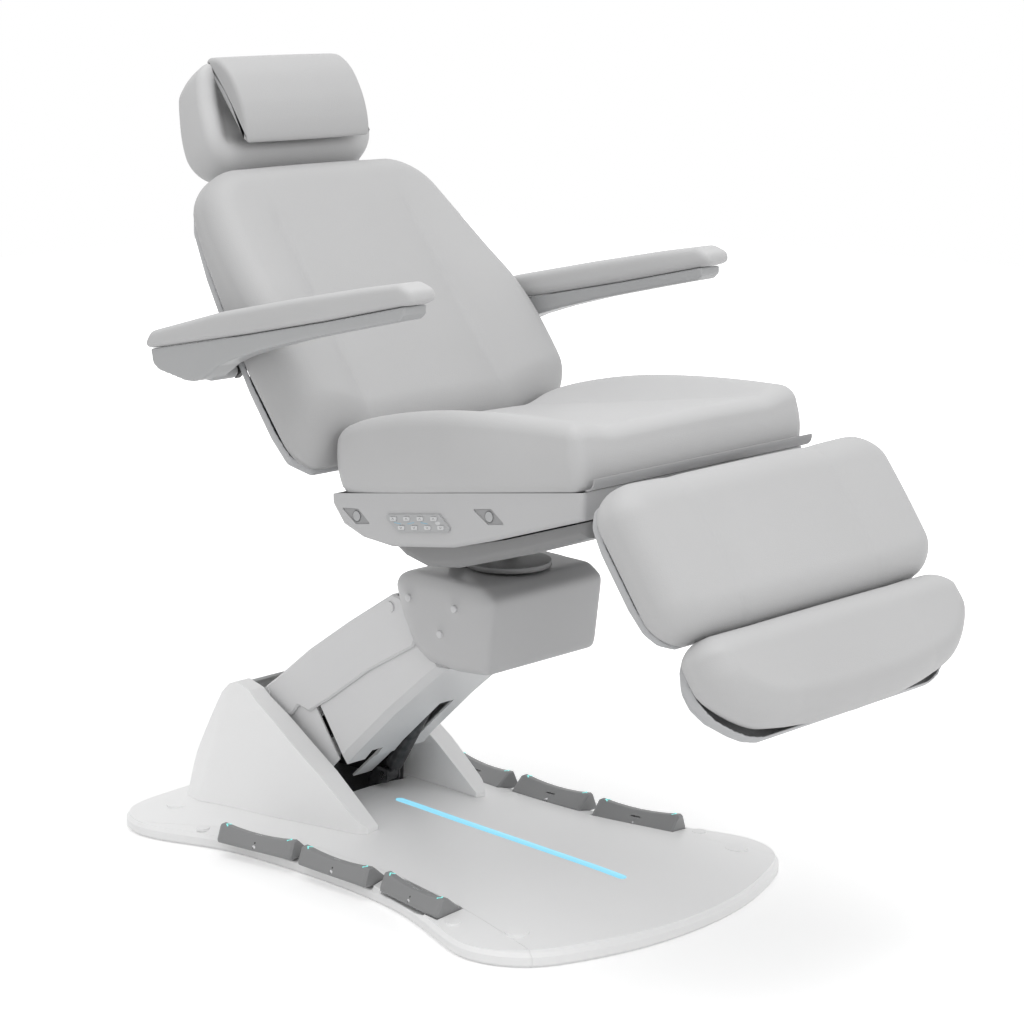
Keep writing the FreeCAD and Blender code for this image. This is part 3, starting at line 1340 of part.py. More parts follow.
def seat_flap():
    """A thin flexible strip that arches from under the seat's front edge towards the leg rest."""
    foot = seat(0.0, seat_long + gap, edge_break)
    top = (foot.y - flap_reach, foot.z + flap_rise)
    bend = (foot.y - flap_reach * 0.86, foot.z + flap_rise * 0.36)
    outer = Part.Arc(at(foot.y, foot.z, -flap_half), at(*bend, -flap_half), at(*top, -flap_half)).toShape()
    inner = Part.Arc(at(top[0] + flap_thickness, top[1], -flap_half),
                     at(bend[0] + flap_thickness * 0.8, bend[1] + flap_thickness, -flap_half),
                     at(foot.y, foot.z + flap_thickness, -flap_half)).toShape()
    edges = [outer, Part.makeLine(at(*top, -flap_half), at(top[0] + flap_thickness, top[1], -flap_half)), inner,
             Part.makeLine(at(foot.y, foot.z + flap_thickness, -flap_half), at(foot.y, foot.z, -flap_half))]
    return Part.Face(Part.Wire(edges)).extrude(Vector(2 * flap_half, 0, 0))


# Backrest group

def hinge_clearance():
    return cross_rod(-hinge_notch_half, hinge_notch_half, back_hinge_y, back_hinge_z, hinge_notch)


def back_cushion():
    body = pad(back, -overrun / 2, back_long, back_half, -back_pad, 0.0, back_stations_shares, back_seam, back_end_round,
               back_plan_round, back_crest_round, back_bottom_lean)
    below = seat_cushion().translated(Vector(0, edge_break, edge_break))
    return cut(body, [hinge_clearance(), below])


def back_shell():
    skin = pad_shell(back, -overrun / 2, back_long, back_half, back_stations_shares, -back_pad, shell_depth, back_plan_round,
                     back_bottom_lean)
    cuts = [hinge_clearance()]
    out = -back_pad - shell_depth
    for side in (-1, 1):
        cuts.append(local_rod(back, side * bar_x, bar_start, back_long + 4 * overrun, head_tilt_out,
                              bar_radius + edge_break))
        middle = side * (arm_bracket_inner + lug_thickness / 2)
        half = lug_thickness / 2 + edge_break
        along, _ = local_of(back, arm_pivot_y, arm_pivot_z)
        cuts.append(local_block(back, middle - half, middle + half, along - 2 * lug_radius, along + 2 * lug_radius,
                                out - overrun, out + 3 * overrun))
    x = back_drive_x
    cuts.append(block(x - lug_thickness * 2, x + lug_thickness * 2, back_hinge_y - hinge_notch, back_hinge_y + hinge_notch,
                      back_hinge_z - hinge_notch * 2, back_hinge_z))
    skin = cut(skin, cuts)
    return max(skin.Solids, key=lambda s: s.Volume)


def back_frame():
    """Torque tube, uprights, guide tubes for the head rest, and the ears that carry the armrests."""
    hinge_along, hinge_out = local_of(back, back_hinge_y, back_hinge_z)
    floor = -back_pad - shell_depth + wall + gap
    top = floor + lug_thickness
    lug = [(hinge_along - lug_radius, hinge_out + lug_radius), (hinge_along + lug_radius, hinge_out + lug_radius),
           (hinge_along + hinge_notch * 0.75, top), (hinge_along + hinge_notch * 3, top), (hinge_along + hinge_notch * 3, floor),
           (hinge_along + hinge_notch * 0.4, floor), (hinge_along - lug_radius, hinge_out - lug_radius)]
    pieces = both(local_plate(back, lug, back_frame_inner, back_frame_inner + lug_thickness, lug_radius * 0.6))
    tube = cross_rod(-back_frame_inner - lug_thickness / 2, back_frame_inner + lug_thickness / 2, back_hinge_y,
                     back_hinge_z, lug_radius * 0.9)
    pieces.append(tube)
    start = hinge_along + hinge_notch * 1.5
    ear_along, ear_out = local_of(back, arm_pivot_y, arm_pivot_z)
    pieces.append(local_block(back, -back_frame_inner - lug_thickness / 2, back_frame_inner + lug_thickness / 2, start,
                              start + 2 * lug_radius, floor, top))
    pieces.append(local_block(back, -arm_bracket_inner - lug_thickness, arm_bracket_inner + lug_thickness,
                              ear_along - lug_radius, ear_along + lug_radius, floor, top))
    pieces += both(local_block(back, back_frame_inner - lug_thickness, back_frame_inner, start, back_long * 0.8, floor, top))
    pieces.append(local_block(back, -back_frame_inner, back_frame_inner, back_long * 0.72, back_long * 0.78, floor, top))
    pieces += both(local_block(back, arm_bracket_inner, arm_bracket_inner + lug_thickness, ear_along - lug_radius,
                               ear_along + lug_radius, ear_out - lug_radius, top))
    guide = back_long * 0.70
    for side in (-1, 1):
        pieces.append(local_rod(back, side * bar_x, guide, back_long * 0.80, head_tilt_out, bar_radius + wall))
    pieces += slotted_lever(back_hinge_y, back_hinge_z, back_drive_x, back_lever_height, back_lever_angle)
    frame = fused(pieces)
    holes = [local_rod(back, side * bar_x, guide - overrun, back_long, head_tilt_out, bar_radius + running_fit)
             for side in (-1, 1)]
    holes += both(cross_rod(back_frame_inner - 2 * edge_break, back_half, back_hinge_y, back_hinge_z,
                            hinge_pin_radius + running_fit))
    holes.append(cross_rod(-back_half, back_half, arm_pivot_y, arm_pivot_z, hinge_pin_radius + running_fit))
    frame = cut(frame, holes)
    pins = both(cross_rod(arm_bracket_inner - edge_break, arm_centre_x, arm_pivot_y, arm_pivot_z, hinge_pin_radius))
    return together([frame] + pins)


# Head rest group

def headrest_bar():
    bars = [local_rod(back, side * bar_x, bar_start, bar_end, head_tilt_out, bar_radius) for side in (-1, 1)]
    across = cross_rod(-bar_x - bar_radius, bar_x + bar_radius, back(0, bar_end, head_tilt_out).y,
                       back(0, bar_end, head_tilt_out).z, bar_radius)
    return fused(bars + [across])


def head_outline(distance):
    points = sized(head_shell_shares, (head_rest_start, head_rest_top - head_rest_pad - gap),
                   (head_rest_long, head_shell_depth))
    return inset(points, distance) if distance else points


def headrest_shell():
    wires = []
    for x, distance in ((-head_shell_half, 1.5 * wall), (-head_shell_half + 3 * wall, 0.0), (head_shell_half - 3 * wall, 0.0),
                        (head_shell_half, 1.5 * wall)):
        wires.append(Part.Wire(rounded_edges(head_outline(distance), wall, (lambda s: lambda a, o: back(s, a, o))(x))))
    body = loft(wires, True)
    slot_half = bar_x + bar_radius + edge_break
    pocket = local_block(back, -slot_half, slot_half, head_rest_start - overrun, head_tilt_along + 2 * bar_radius,
                         head_tilt_out - 3.2 * bar_radius, head_tilt_out + 3.2 * bar_radius)
    body = body.cut(pocket)
    ear = cross_rod(-bar_x * 0.7, bar_x * 0.7, back(0, head_tilt_along, head_tilt_out).y,
                    back(0, head_tilt_along, head_tilt_out).z, bar_radius + wall)
    strut = local_block(back, -bar_x * 0.7, bar_x * 0.7, head_tilt_along, head_tilt_along + 3 * bar_radius,
                        head_tilt_out - wall, head_tilt_out + wall)
    body = fused([body, ear, strut])
    centre = back(0, head_tilt_along, head_tilt_out)
    return body.cut(cross_rod(-bar_x * 2, bar_x * 2, centre.y, centre.z, bar_radius + running_fit))


def headrest_cushion():
    """A pad whose two sides reach back past the hard shell between them."""
    low = head_rest_top - head_rest_pad
    body = pad(back, head_rest_start, head_rest_long, head_rest_half, low - head_rest_side_depth, head_rest_top,
               head_rest_stations_shares, pillow_half, head_end_round, head_plan_round, head_crest_round)
    half = head_shell_half + edge_break
    return body.cut(local_block(back, -half, half, head_rest_start - overrun, head_rest_start + head_rest_long + overrun,
                                low - 2 * head_rest_side_depth, low))


def head_pillow():
    wires = []
    for share, scale in pillow_station_shares:
        points = []
        for a, o in pillow_shares:
            points.append((pillow_start + pillow_long * (0.5 + (a - 0.5) * scale), pillow_depth * (0.35 + (o - 0.35) * scale)))
        x = share * pillow_half
        wires.append(Part.Wire(rounded_edges(points, 2 * wall, (lambda s: lambda a, o: back(s, a, o))(x))))
    lift = back(0.0, 0.0, edge_break / 2) - back(0.0, 0.0, 0.0)
    return loft(wires, True).cut(headrest_cushion().translated(lift))


# Armrests

def moved(shape, x):
    shape = shape.copy()
    shape.translate(Vector(x, 0, 0))
    return shape


def arm_pad():
    points = sized(arm_pad_shares, (arm_front, arm_low), (arm_length_y, arm_tall))
    return moved(bevelled_plate(points, arm_pad_half, 2 * wall, 2 * wall), arm_centre_x)


def arm_shell():
    points = sized(arm_shell_shares, (arm_front, arm_low), (arm_length_y, arm_tall))
    body = moved(side_plate(points, -arm_shell_half, arm_shell_half), arm_centre_x)
    top = sized(arm_pad_shares, (arm_front, arm_low), (arm_length_y, arm_tall))
    body = body.cut(side_plate(inset(top, -gap), 0.0, 2 * arm_centre_x))
    body = max(body.Solids, key=lambda s: s.Volume)
    boss = cross_rod(arm_boss_inner, arm_centre_x, arm_pivot_y, arm_pivot_z, arm_boss_radius)
    body = fused([body, boss])
    return body.cut(cross_rod(0.0, arm_centre_x + 0.0, arm_pivot_y, arm_pivot_z, hinge_pin_radius + running_fit).fuse(
        cross_rod(arm_centre_x, arm_centre_x + edge_break, arm_pivot_y, arm_pivot_z, hinge_pin_radius)))


# Leg rest and foot rest

def leg_cushion():
    return pad(leg, leg_start, leg_long, leg_half, -leg_pad, 0.0, leg_stations_shares, leg_seam, leg_end_round,
               leg_plan_round, crest_round)


def leg_shell():
    skin = pad_shell(leg, leg_start, leg_long, leg_half, leg_stations_shares, -leg_pad, shell_depth - edge_break,
                     leg_plan_round)
    hinge_along = local_of(leg, leg_hinge_y, leg_hinge_z)[0]
    notch = local_block(leg, -leg_notch_half, leg_notch_half, leg_start - overrun, hinge_along + 2.2 * lug_radius,
                        -base_half_width, -leg_pad - wall)
    return skin.cut(notch)


def leg_frame():
    hinge_along, hinge_out = local_of(leg, leg_hinge_y, leg_hinge_z)
    top = -leg_pad - shell_depth + edge_break - gap
    floor = top - lug_thickness
    clear = hinge_along + 1.6 * lug_radius
    lug = [(hinge_along - lug_radius, hinge_out + lug_radius * 0.9), (hinge_along + lug_radius, hinge_out + lug_radius * 0.9),
           (clear, top), (clear + 5 * lug_radius, top), (clear + 5 * lug_radius, floor),
           (hinge_along - lug_radius * 0.4, floor - edge_break), (hinge_along - lug_radius, hinge_out - lug_radius)]
    pieces = both(local_plate(leg, lug, leg_lug_inner, leg_lug_inner + lug_thickness, lug_radius * 0.5))
    pieces.append(cross_rod(-leg_lug_inner - lug_thickness / 2, leg_lug_inner + lug_thickness / 2, leg_hinge_y,
                            leg_hinge_z, lug_radius * 0.9))
    end = leg_start + leg_long * 0.86
    half = leg_lug_inner + lug_thickness
    pieces.append(local_block(leg, -half, half, clear + lug_radius, clear + 3 * lug_radius, floor, top))
    pieces.append(local_block(leg, -half, half, end - 2 * lug_radius, end, floor, top))
    pieces += both(local_block(leg, leg_lug_inner, half, clear + lug_radius, end, floor, top))
    centre_out = floor - rail_sleeve + edge_break / 2
    for side in (-1, 1):
        pieces.append(local_rod(leg, side * rail_x, end - 9 * lug_radius, end, centre_out, rail_sleeve))
    pieces += slotted_lever(leg_hinge_y, leg_hinge_z, leg_drive_x, leg_lever_height, leg_lever_angle)
    frame = fused(pieces)
    holes = [local_rod(leg, side * rail_x, end - 10 * lug_radius, end + overrun, centre_out, rail_radius + running_fit)
             for side in (-1, 1)]
    holes += both(cross_rod(leg_lug_inner - 2 * edge_break, leg_half, leg_hinge_y, leg_hinge_z,
                            hinge_pin_radius + running_fit))
    return cut(frame, holes)


def foot_cushion():
    return pad(leg, foot_start, foot_long, foot_half, foot_top - foot_pad, foot_top, foot_stations_shares,
               foot_half * 0.52, leg_end_round, foot_plan_round, crest_round)


def foot_shell():
    return pad_shell(leg, foot_start, foot_long, foot_half, foot_stations_shares, foot_top - foot_pad,
                     foot_shell_depth, foot_plan_round)


def foot_rails():
    frame_floor = -leg_pad - shell_depth + edge_break - gap - lug_thickness
    out = frame_floor - rail_sleeve + edge_break / 2
    start = leg_start + leg_long * 0.86 - 9 * lug_radius
    end = foot_start + foot_long * 0.55
    pieces = [local_rod(leg, side * rail_x, start, end, out, rail_radius) for side in (-1, 1)]
    back_face = foot_top - foot_pad - foot_shell_depth - gap
    half = rail_x + 2 * rail_radius
    pieces.append(local_block(leg, -half, half, foot_start + foot_long * 0.25, end, out, back_face))
    return fused(pieces)


def build():
    nodes = base_nodes()
    nodes["tower_cover"] = tower_cover()
    nodes["tower_frame"] = tower_frame()
    nodes["base_pins"] = base_pins()
    nodes["upper_link_bars"] = upper_link_bars()
    nodes["lower_link_bars"] = lower_link_bars()
    nodes["upper_arm_cover"] = upper_arm_cover()
    nodes["lower_arm_cover"] = lower_arm_cover()
    nodes["lift_actuator_body"], nodes["lift_actuator_rod"] = lift_actuator()
    nodes["head_cover"] = head_cover()
    nodes["head_frame"] = head_frame()
    nodes["turntable"] = turntable()
    nodes["seat_cushion"] = seat_cushion()
    nodes["seat_cover"] = seat_cover()
    nodes["under_pan"] = under_pan()
    nodes["seat_frame"] = seat_frame()
    nodes["control_panel"], keys = control_panel()
    nodes.update(keys)
    nodes["seat_flap"] = seat_flap()
    rest = math.tan(math.radians(back_lever_angle)) * back_lever_height
    body, shaft = drive(back_hinge_y + rest, back_hinge_z - back_lever_height, back_drive_x, -1, back_drive_start,
                        drive_length, -2 * drive_radius + edge_break)
    nodes["back_drive_body"], nodes["back_drive_rod"] = body, shaft
    rest = math.tan(math.radians(leg_lever_angle)) * leg_lever_height
    body, shaft = drive(leg_hinge_y + rest, leg_hinge_z - leg_lever_height, leg_drive_x, 1, leg_drive_start,
                        drive_length, 2 * drive_radius - edge_break)
    nodes["leg_drive_body"], nodes["leg_drive_rod"] = body, shaft
    body, shaft = drive(tilt_y, tilt_z + tilt_lever_height, 0.0, -1, tilt_drive_start, drive_length,
                        2 * drive_radius - edge_break)
    nodes["tilt_drive_body"], nodes["tilt_drive_rod"] = body, shaft
    nodes["back_cushion"] = back_cushion()
    nodes["back_shell"] = back_shell()
    nodes["back_frame"] = back_frame()
    nodes["headrest_bar"] = headrest_bar()
    nodes["headrest_cushion"] = headrest_cushion()
    nodes["headrest_shell"] = headrest_shell()
    nodes["head_pillow"] = head_pillow()
    left_pad, left_shell = arm_pad(), arm_shell()
    nodes["arm_pad_left"], nodes["arm_shell_left"] = left_pad, left_shell
    nodes["arm_pad_right"], nodes["arm_shell_right"] = mirrored(left_pad), mirrored(left_shell)
    nodes["leg_cushion"] = leg_cushion()
    nodes["leg_shell"] = leg_shell()
    nodes["leg_frame"] = leg_frame()
    nodes["foot_cushion"] = foot_cushion()
    nodes["foot_shell"] = foot_shell()
    nodes["foot_rails"] = foot_rails()
    return nodes


os.makedirs("parts", exist_ok=True)
for name, shape in build().items():
    shape.exportStep("parts/" + name + ".step")
    box = shape.BoundBox
    print(name, len(shape.Solids), shape.isValid(), round(shape.Volume / 1000), "cm3",
          [round(v, 1) for v in (box.XMin, box.XMax, box.YMin, box.YMax, box.ZMin, box.ZMax)])
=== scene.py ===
# %% [markdown]
# # A podiatry chair around its CAD frame
# The CAD model gives every hard piece its place. This script loads that frame, dresses each hard piece in a
# finish, and models the upholstery in place of the plain cushions. Lengths are in metres. The sitter faces
# -Y and the sitter's left is +X.

# %% Load the frame
import json
import math

import bmesh
import bpy
from mathutils import Matrix, Vector
import numpy as np


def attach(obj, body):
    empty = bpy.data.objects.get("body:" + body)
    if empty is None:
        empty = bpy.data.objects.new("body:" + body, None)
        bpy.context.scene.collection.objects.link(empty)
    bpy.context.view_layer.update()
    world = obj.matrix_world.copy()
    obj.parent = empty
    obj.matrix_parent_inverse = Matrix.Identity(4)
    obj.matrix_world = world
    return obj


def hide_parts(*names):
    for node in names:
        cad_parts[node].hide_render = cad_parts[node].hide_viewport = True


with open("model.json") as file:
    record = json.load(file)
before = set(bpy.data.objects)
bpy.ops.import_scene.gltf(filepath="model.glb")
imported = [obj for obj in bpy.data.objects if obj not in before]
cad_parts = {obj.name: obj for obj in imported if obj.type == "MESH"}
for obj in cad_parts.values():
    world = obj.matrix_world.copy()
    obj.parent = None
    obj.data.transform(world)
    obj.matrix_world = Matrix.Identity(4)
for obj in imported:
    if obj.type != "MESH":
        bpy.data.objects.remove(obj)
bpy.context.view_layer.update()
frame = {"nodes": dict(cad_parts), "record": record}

nodes = frame["nodes"]
body_members = frame["record"]["behaviour"]["bodies"]
body_of_node = {member: body for body, members in body_members.items() for member in members}

# %% [markdown]
# ## Shared effects
# Real finishes are never one flat value. A node group holds one effect with named inputs, so that each
# material places it with its own numbers. Groups here give only colours, roughness and heights. The shader
# stays in the material.

# %% Helpers for node groups
def new_group(name, inputs, outputs):
    group = bpy.data.node_groups.new(name, "ShaderNodeTree")
    for label, value in inputs.items():
        kind = "NodeSocketColor" if isinstance(value, tuple) else "NodeSocketFloat"
        group.interface.new_socket(name=label, in_out="INPUT", socket_type=kind).default_value = value
    for label in outputs:
        kind = "NodeSocketColor" if label == "Colour" else "NodeSocketFloat"
        group.interface.new_socket(name=label, in_out="OUTPUT", socket_type=kind)
    return group, group.nodes.new("NodeGroupInput"), group.nodes.new("NodeGroupOutput")


def feed(tree, socket, value):
    if isinstance(value, (int, float)):
        socket.default_value = value
    else:
        tree.links.new(value, socket)


def noise(tree, vector, scale, detail, rough=0.5):
    node = tree.nodes.new("ShaderNodeTexNoise")
    node.inputs["Detail"].default_value = detail
    node.inputs["Roughness"].default_value = rough
    tree.links.new(vector, node.inputs["Vector"])
    feed(tree, node.inputs["Scale"], scale)
    return node.outputs["Fac"]


def math_node(tree, operation, first, second):
    node = tree.nodes.new("ShaderNodeMath")
    node.operation = operation
    feed(tree, node.inputs[0], first)
    feed(tree, node.inputs[1], second)
    return node.outputs[0]


def map_range(tree, value, old_range, new_range):
    node = tree.nodes.new("ShaderNodeMapRange")
    feed(tree, node.inputs["Value"], value)
    for label, number in zip(("From Min", "From Max", "To Min", "To Max"), (*old_range, *new_range)):
        feed(tree, node.inputs[label], number)
    return node.outputs["Result"]


print("group helpers ready")

# %% [markdown]
# ### Grain
# Coated upholstery has small rounded cells pressed into it, with finer creases between them. A Voronoi
# texture gives the cells and a noise the creases. Noise alone looks like dust, and Voronoi alone looks like
# scales.

# %% The grain group
creases_per_cell = 0.4


def make_grain():
    group, entry, result = new_group(
        "Pressed grain", {"Cells per metre": 700.0, "Crease share": 0.35}, ["Height"])
    place = group.nodes.new("ShaderNodeTexCoord").outputs["Object"]
    cells = group.nodes.new("ShaderNodeTexVoronoi")
    cells.feature = "SMOOTH_F1"
    group.links.new(place, cells.inputs["Vector"])
    group.links.new(entry.outputs["Cells per metre"], cells.inputs["Scale"])
    crease_scale = math_node(group, "MULTIPLY", entry.outputs["Cells per metre"], creases_per_cell)
    creases = noise(group, place, crease_scale, detail=4.0, rough=0.6)
    crease_part = math_node(group, "MULTIPLY", creases, entry.outputs["Crease share"])
    height = math_node(group, "SUBTRACT", crease_part, cells.outputs["Distance"])
    group.links.new(height, result.inputs["Height"])
    return group


grain_group = make_grain()
print("grain group:", len(grain_group.nodes), "nodes")

# %% [markdown]
# ### Mottle
# Moulded and painted pieces drift a little in tone over a hand's width. Two soft noises of different size
# change the colour by a percent or two. The finer one also changes the roughness, so a white piece doesn't
# look empty.

# %% The mottle group
noise_window = (0.3, 0.7)
fine_spots_per_broad = 40.0
broad_share = 0.7


def make_mottle():
    group, entry, result = new_group(
        "Soft mottle",
        {"Colour": (0.8, 0.8, 0.8, 1.0), "Amount": 0.03, "Spots per metre": 6.0, "Roughness": 0.4,
         "Roughness spread": 0.05},
        ["Colour", "Roughness", "Height"])
    place = group.nodes.new("ShaderNodeTexCoord").outputs["Object"]
    broad = noise(group, place, entry.outputs["Spots per metre"], detail=2.0)
    fine_scale = math_node(group, "MULTIPLY", entry.outputs["Spots per metre"], fine_spots_per_broad)
    fine = noise(group, place, fine_scale, detail=3.0)
    mixed = math_node(group, "ADD", math_node(group, "MULTIPLY", broad, broad_share),
                      math_node(group, "MULTIPLY", fine, 1.0 - broad_share))
    low = math_node(group, "SUBTRACT", 1.0, entry.outputs["Amount"])
    high = math_node(group, "ADD", 1.0, entry.outputs["Amount"])
    tone = map_range(group, mixed, noise_window, (low, high))
    scale = group.nodes.new("ShaderNodeVectorMath")
    scale.operation = "SCALE"
    group.links.new(entry.outputs["Colour"], scale.inputs[0])
    group.links.new(tone, scale.inputs["Scale"])
    group.links.new(scale.outputs["Vector"], result.inputs["Colour"])
    smooth = math_node(group, "SUBTRACT", entry.outputs["Roughness"], entry.outputs["Roughness spread"])
    dull = math_node(group, "ADD", entry.outputs["Roughness"], entry.outputs["Roughness spread"])
    group.links.new(map_range(group, fine, noise_window, (smooth, dull)), result.inputs["Roughness"])
    group.links.new(fine, result.inputs["Height"])
    return group


mottle_group = make_mottle()
print("mottle group:", len(mottle_group.nodes), "nodes")

# %% [markdown]
# ### Edge rub
# Paint on steel brackets rubs thin on its edges. Geometry's Pointiness is high on convex edges, so a narrow
# window of it, broken up by noise, marks where the paint is thin. A painted mask would need redoing each
# time that a bracket changes. The mix node has sockets for several kinds of value, so its colour ones go by
# number.

# %% The edge rub group
rub_patches_per_metre = 60.0
edge_window = (0.52, 0.60)
patch_window = (0.4, 0.6)
mix_first, mix_second, mix_result = 6, 7, 2


def make_edge_rub():
    group, entry, result = new_group(
        "Edge rub", {"Paint": (0.03, 0.03, 0.03, 1.0), "Bare": (0.3, 0.3, 0.3, 1.0), "Amount": 0.5},
        ["Colour"])
    place = group.nodes.new("ShaderNodeTexCoord").outputs["Object"]
    pointed = group.nodes.new("ShaderNodeNewGeometry").outputs["Pointiness"]
    edge = map_range(group, pointed, edge_window, (0.0, 1.0))
    patches = noise(group, place, rub_patches_per_metre, detail=4.0)
    broken = map_range(group, patches, patch_window, (0.0, 1.0))
    mask = math_node(group, "MULTIPLY", math_node(group, "MULTIPLY", edge, broken), entry.outputs["Amount"])
    mix = group.nodes.new("ShaderNodeMix")
    mix.data_type = "RGBA"
    group.links.new(mask, mix.inputs[0])
    group.links.new(entry.outputs["Paint"], mix.inputs[mix_first])
    group.links.new(entry.outputs["Bare"], mix.inputs[mix_second])
    group.links.new(mix.outputs[mix_result], result.inputs["Colour"])
    return group


edge_rub_group = make_edge_rub()
print("edge rub group:", len(edge_rub_group.nodes), "nodes")

# %% [markdown]
# ## Finishes
# Each finish is one material around a Principled BSDF. Numbers that are the same all over the surface are
# set on the shader's own sockets, and only what changes over the surface comes through the groups.

# %% Helpers for materials
def placed(material, group, **values):
    node = material.node_tree.nodes.new("ShaderNodeGroup")
    node.node_tree = group
    for label, value in values.items():
        node.inputs[label.replace("_", " ")].default_value = value
    return node


def new_material(name, colour, roughness, spread, amount, spots, colour_socket="Base Color"):
    material = bpy.data.materials.new(name)
    material.use_nodes = True
    tree = material.node_tree
    shader = tree.nodes["Principled BSDF"]
    tone = placed(material, mottle_group, Colour=(*colour, 1.0), Amount=amount, Spots_per_metre=spots,
                  Roughness=roughness, Roughness_spread=spread)
    tree.links.new(tone.outputs["Colour"], shader.inputs[colour_socket])
    tree.links.new(tone.outputs["Roughness"], shader.inputs["Roughness"])
    return material, shader, tone


def set_inputs(shader, **values):
    for label, value in values.items():
        shader.inputs[label.replace("_", " ")].default_value = value


def add_bump(tree, shader, height, distance, strength):
    bump = tree.nodes.new("ShaderNodeBump")
    set_inputs(bump, Distance=distance, Strength=strength)
    tree.links.new(height, bump.inputs["Height"])
    tree.links.new(bump.outputs["Normal"], shader.inputs["Normal"])


def add_grain(material, shader, cells, crease_share, depth, strength):
    grain = placed(material, grain_group, Cells_per_metre=cells, Crease_share=crease_share)
    add_bump(material.node_tree, shader, grain.outputs["Height"], depth, strength)


print("material helpers ready")

# %% [markdown]
# ### Upholstery
# The cushions wear a pale grey coated fabric with a satin face. A flat grey with low roughness would look
# like painted board. Grain in the bump, a drift in tone and a little sheen at grazing angles make it read
# as soft. One fabric is given three greys, for the seat, the back and the leg rest, and the difference
# between them is painted light and shade: each grey is set lighter or darker for the light on that part.

# %% Upholstery materials
cool_tint = 1.005


def upholstery(name, grey):
    material, shader, tone = new_material(name, (grey, grey, grey * cool_tint), roughness=0.52, spread=0.05,
                                          amount=0.018, spots=5.0)
    set_inputs(shader, Specular_IOR_Level=0.35, Sheen_Weight=0.08, Sheen_Roughness=0.5)
    add_grain(material, shader, cells=620.0, crease_share=0.4, depth=0.00035, strength=0.5)
    return material


# Painted light and shade: the same fabric in three greys, one per part, for the light that falls on each.
seat_fabric = upholstery("seat upholstery", 0.560)
back_fabric = upholstery("back upholstery", 0.485)
leg_fabric = upholstery("leg rest upholstery", 0.540)
print("upholstery in three tones")

# %% [markdown]
# ### Moulded plastic
# Covers are white mouldings with a satin gloss, and the shells behind the pads are a cooler grey with a
# fine spark texture. A thin clear coat gives the covers a second, sharper highlight. The white plastic comes
# in lit and shaded copies, which is painted light and shade: the pieces on the floor are made lighter to
# make up for the chair's shade over them, the covers under the seat a tone darker and the under pan darker
# still, for the shade that they sit in. One function makes them all, since they differ only in tone, gloss
# and depth of texture.

# %% Plastic materials
def moulded(name, colour, roughness, coat=0.0, texture=0.00006, amount=0.012):
    material, shader, tone = new_material(name, colour, roughness, spread=0.04, amount=amount, spots=4.0)
    set_inputs(shader, Coat_Weight=coat, Coat_Roughness=0.2)
    add_grain(material, shader, cells=900.0, crease_share=0.8, depth=texture, strength=0.4)
    return material


white_plastic = moulded("white cover plastic", (0.72, 0.72, 0.725), 0.38, coat=0.15)
# Painted shade: the white cover plastic darkened for the covers that sit in the shade under the seat.
cover_plastic_painted_shade = moulded("cover plastic with painted shade", (0.53, 0.53, 0.535), 0.42, coat=0.1)
# Painted shade: the under pan's dark grey stands for the deep shade below the seat.
pan_plastic_painted_shade = moulded("under pan plastic with painted shade", (0.27, 0.27, 0.272), 0.5)
# Painted light: the pieces on the floor are lighter than the covers, to make up for the chair's shade over
# them.
base_plastic_painted_light = moulded("floor base plastic with painted light", (0.94, 0.94, 0.94), 0.42, coat=0.1)
grey_plastic = moulded("pad shell plastic", (0.50, 0.505, 0.515), 0.45, texture=0.00012)
arm_plastic = moulded("armrest plastic", (0.44, 0.445, 0.45), 0.42, texture=0.0001)
cap_plastic = moulded("cap plastic", (0.66, 0.66, 0.67), 0.4)
pedal_plastic = moulded("pedal plastic", (0.27, 0.272, 0.275), 0.42, texture=0.00015, amount=0.03)
panel_plastic = moulded("panel membrane", (0.47, 0.475, 0.48), 0.5, texture=0.0001)
key_plastic = moulded("key plastic", (0.66, 0.665, 0.67), 0.4)
socket_plastic = moulded("socket plastic", (0.34, 0.34, 0.345), 0.45)
housing_plastic = moulded("black housing plastic", (0.02, 0.02, 0.022), 0.45, texture=0.00015,
                          amount=0.05)
strip_rubber = moulded("gap strip rubber", (0.40, 0.40, 0.405), 0.6, texture=0.0002)
print("moulded plastics ready")

# %% [markdown]
# ### Steel
# Frames are powder coated black, with the coat rubbed on edges. Rods and pins are bright, with fine
# unevenness in their roughness and a trace of it in the bump. Quite even steel would mirror the lamps like
# glass.

# %% Steel materials
def painted(name, paint, bare, roughness):
    material, shader, tone = new_material(name, paint, roughness, spread=0.08, amount=0.05, spots=8.0)
    rub = placed(material, edge_rub_group, Paint=(*paint, 1.0), Bare=(*bare, 1.0), Amount=0.35)
    material.node_tree.links.new(rub.outputs["Colour"], tone.inputs["Colour"])
    add_grain(material, shader, cells=1200.0, crease_share=0.5, depth=0.0001, strength=0.5)
    return material


def bright(name, colour, roughness):
    material, shader, tone = new_material(name, colour, roughness, spread=0.1, amount=0.04, spots=30.0)
    set_inputs(shader, Metallic=1.0)
    add_bump(material.node_tree, shader, tone.outputs["Height"], distance=0.00004, strength=0.4)
    return material


black_paint = painted("black frame paint", (0.018, 0.018, 0.02), (0.12, 0.12, 0.12), 0.45)
plate_paint = painted("base plate paint", (0.16, 0.16, 0.165), (0.3, 0.3, 0.3), 0.5)
bright_steel = bright("bright steel", (0.62, 0.62, 0.63), 0.25)
print("steel finishes ready")

# %% [markdown]
# ### Light
# The strip along the base and the marks on the pedals glow a pale cyan. An emission of about one keeps the
# colour as written, where a stronger one would burn out to white.

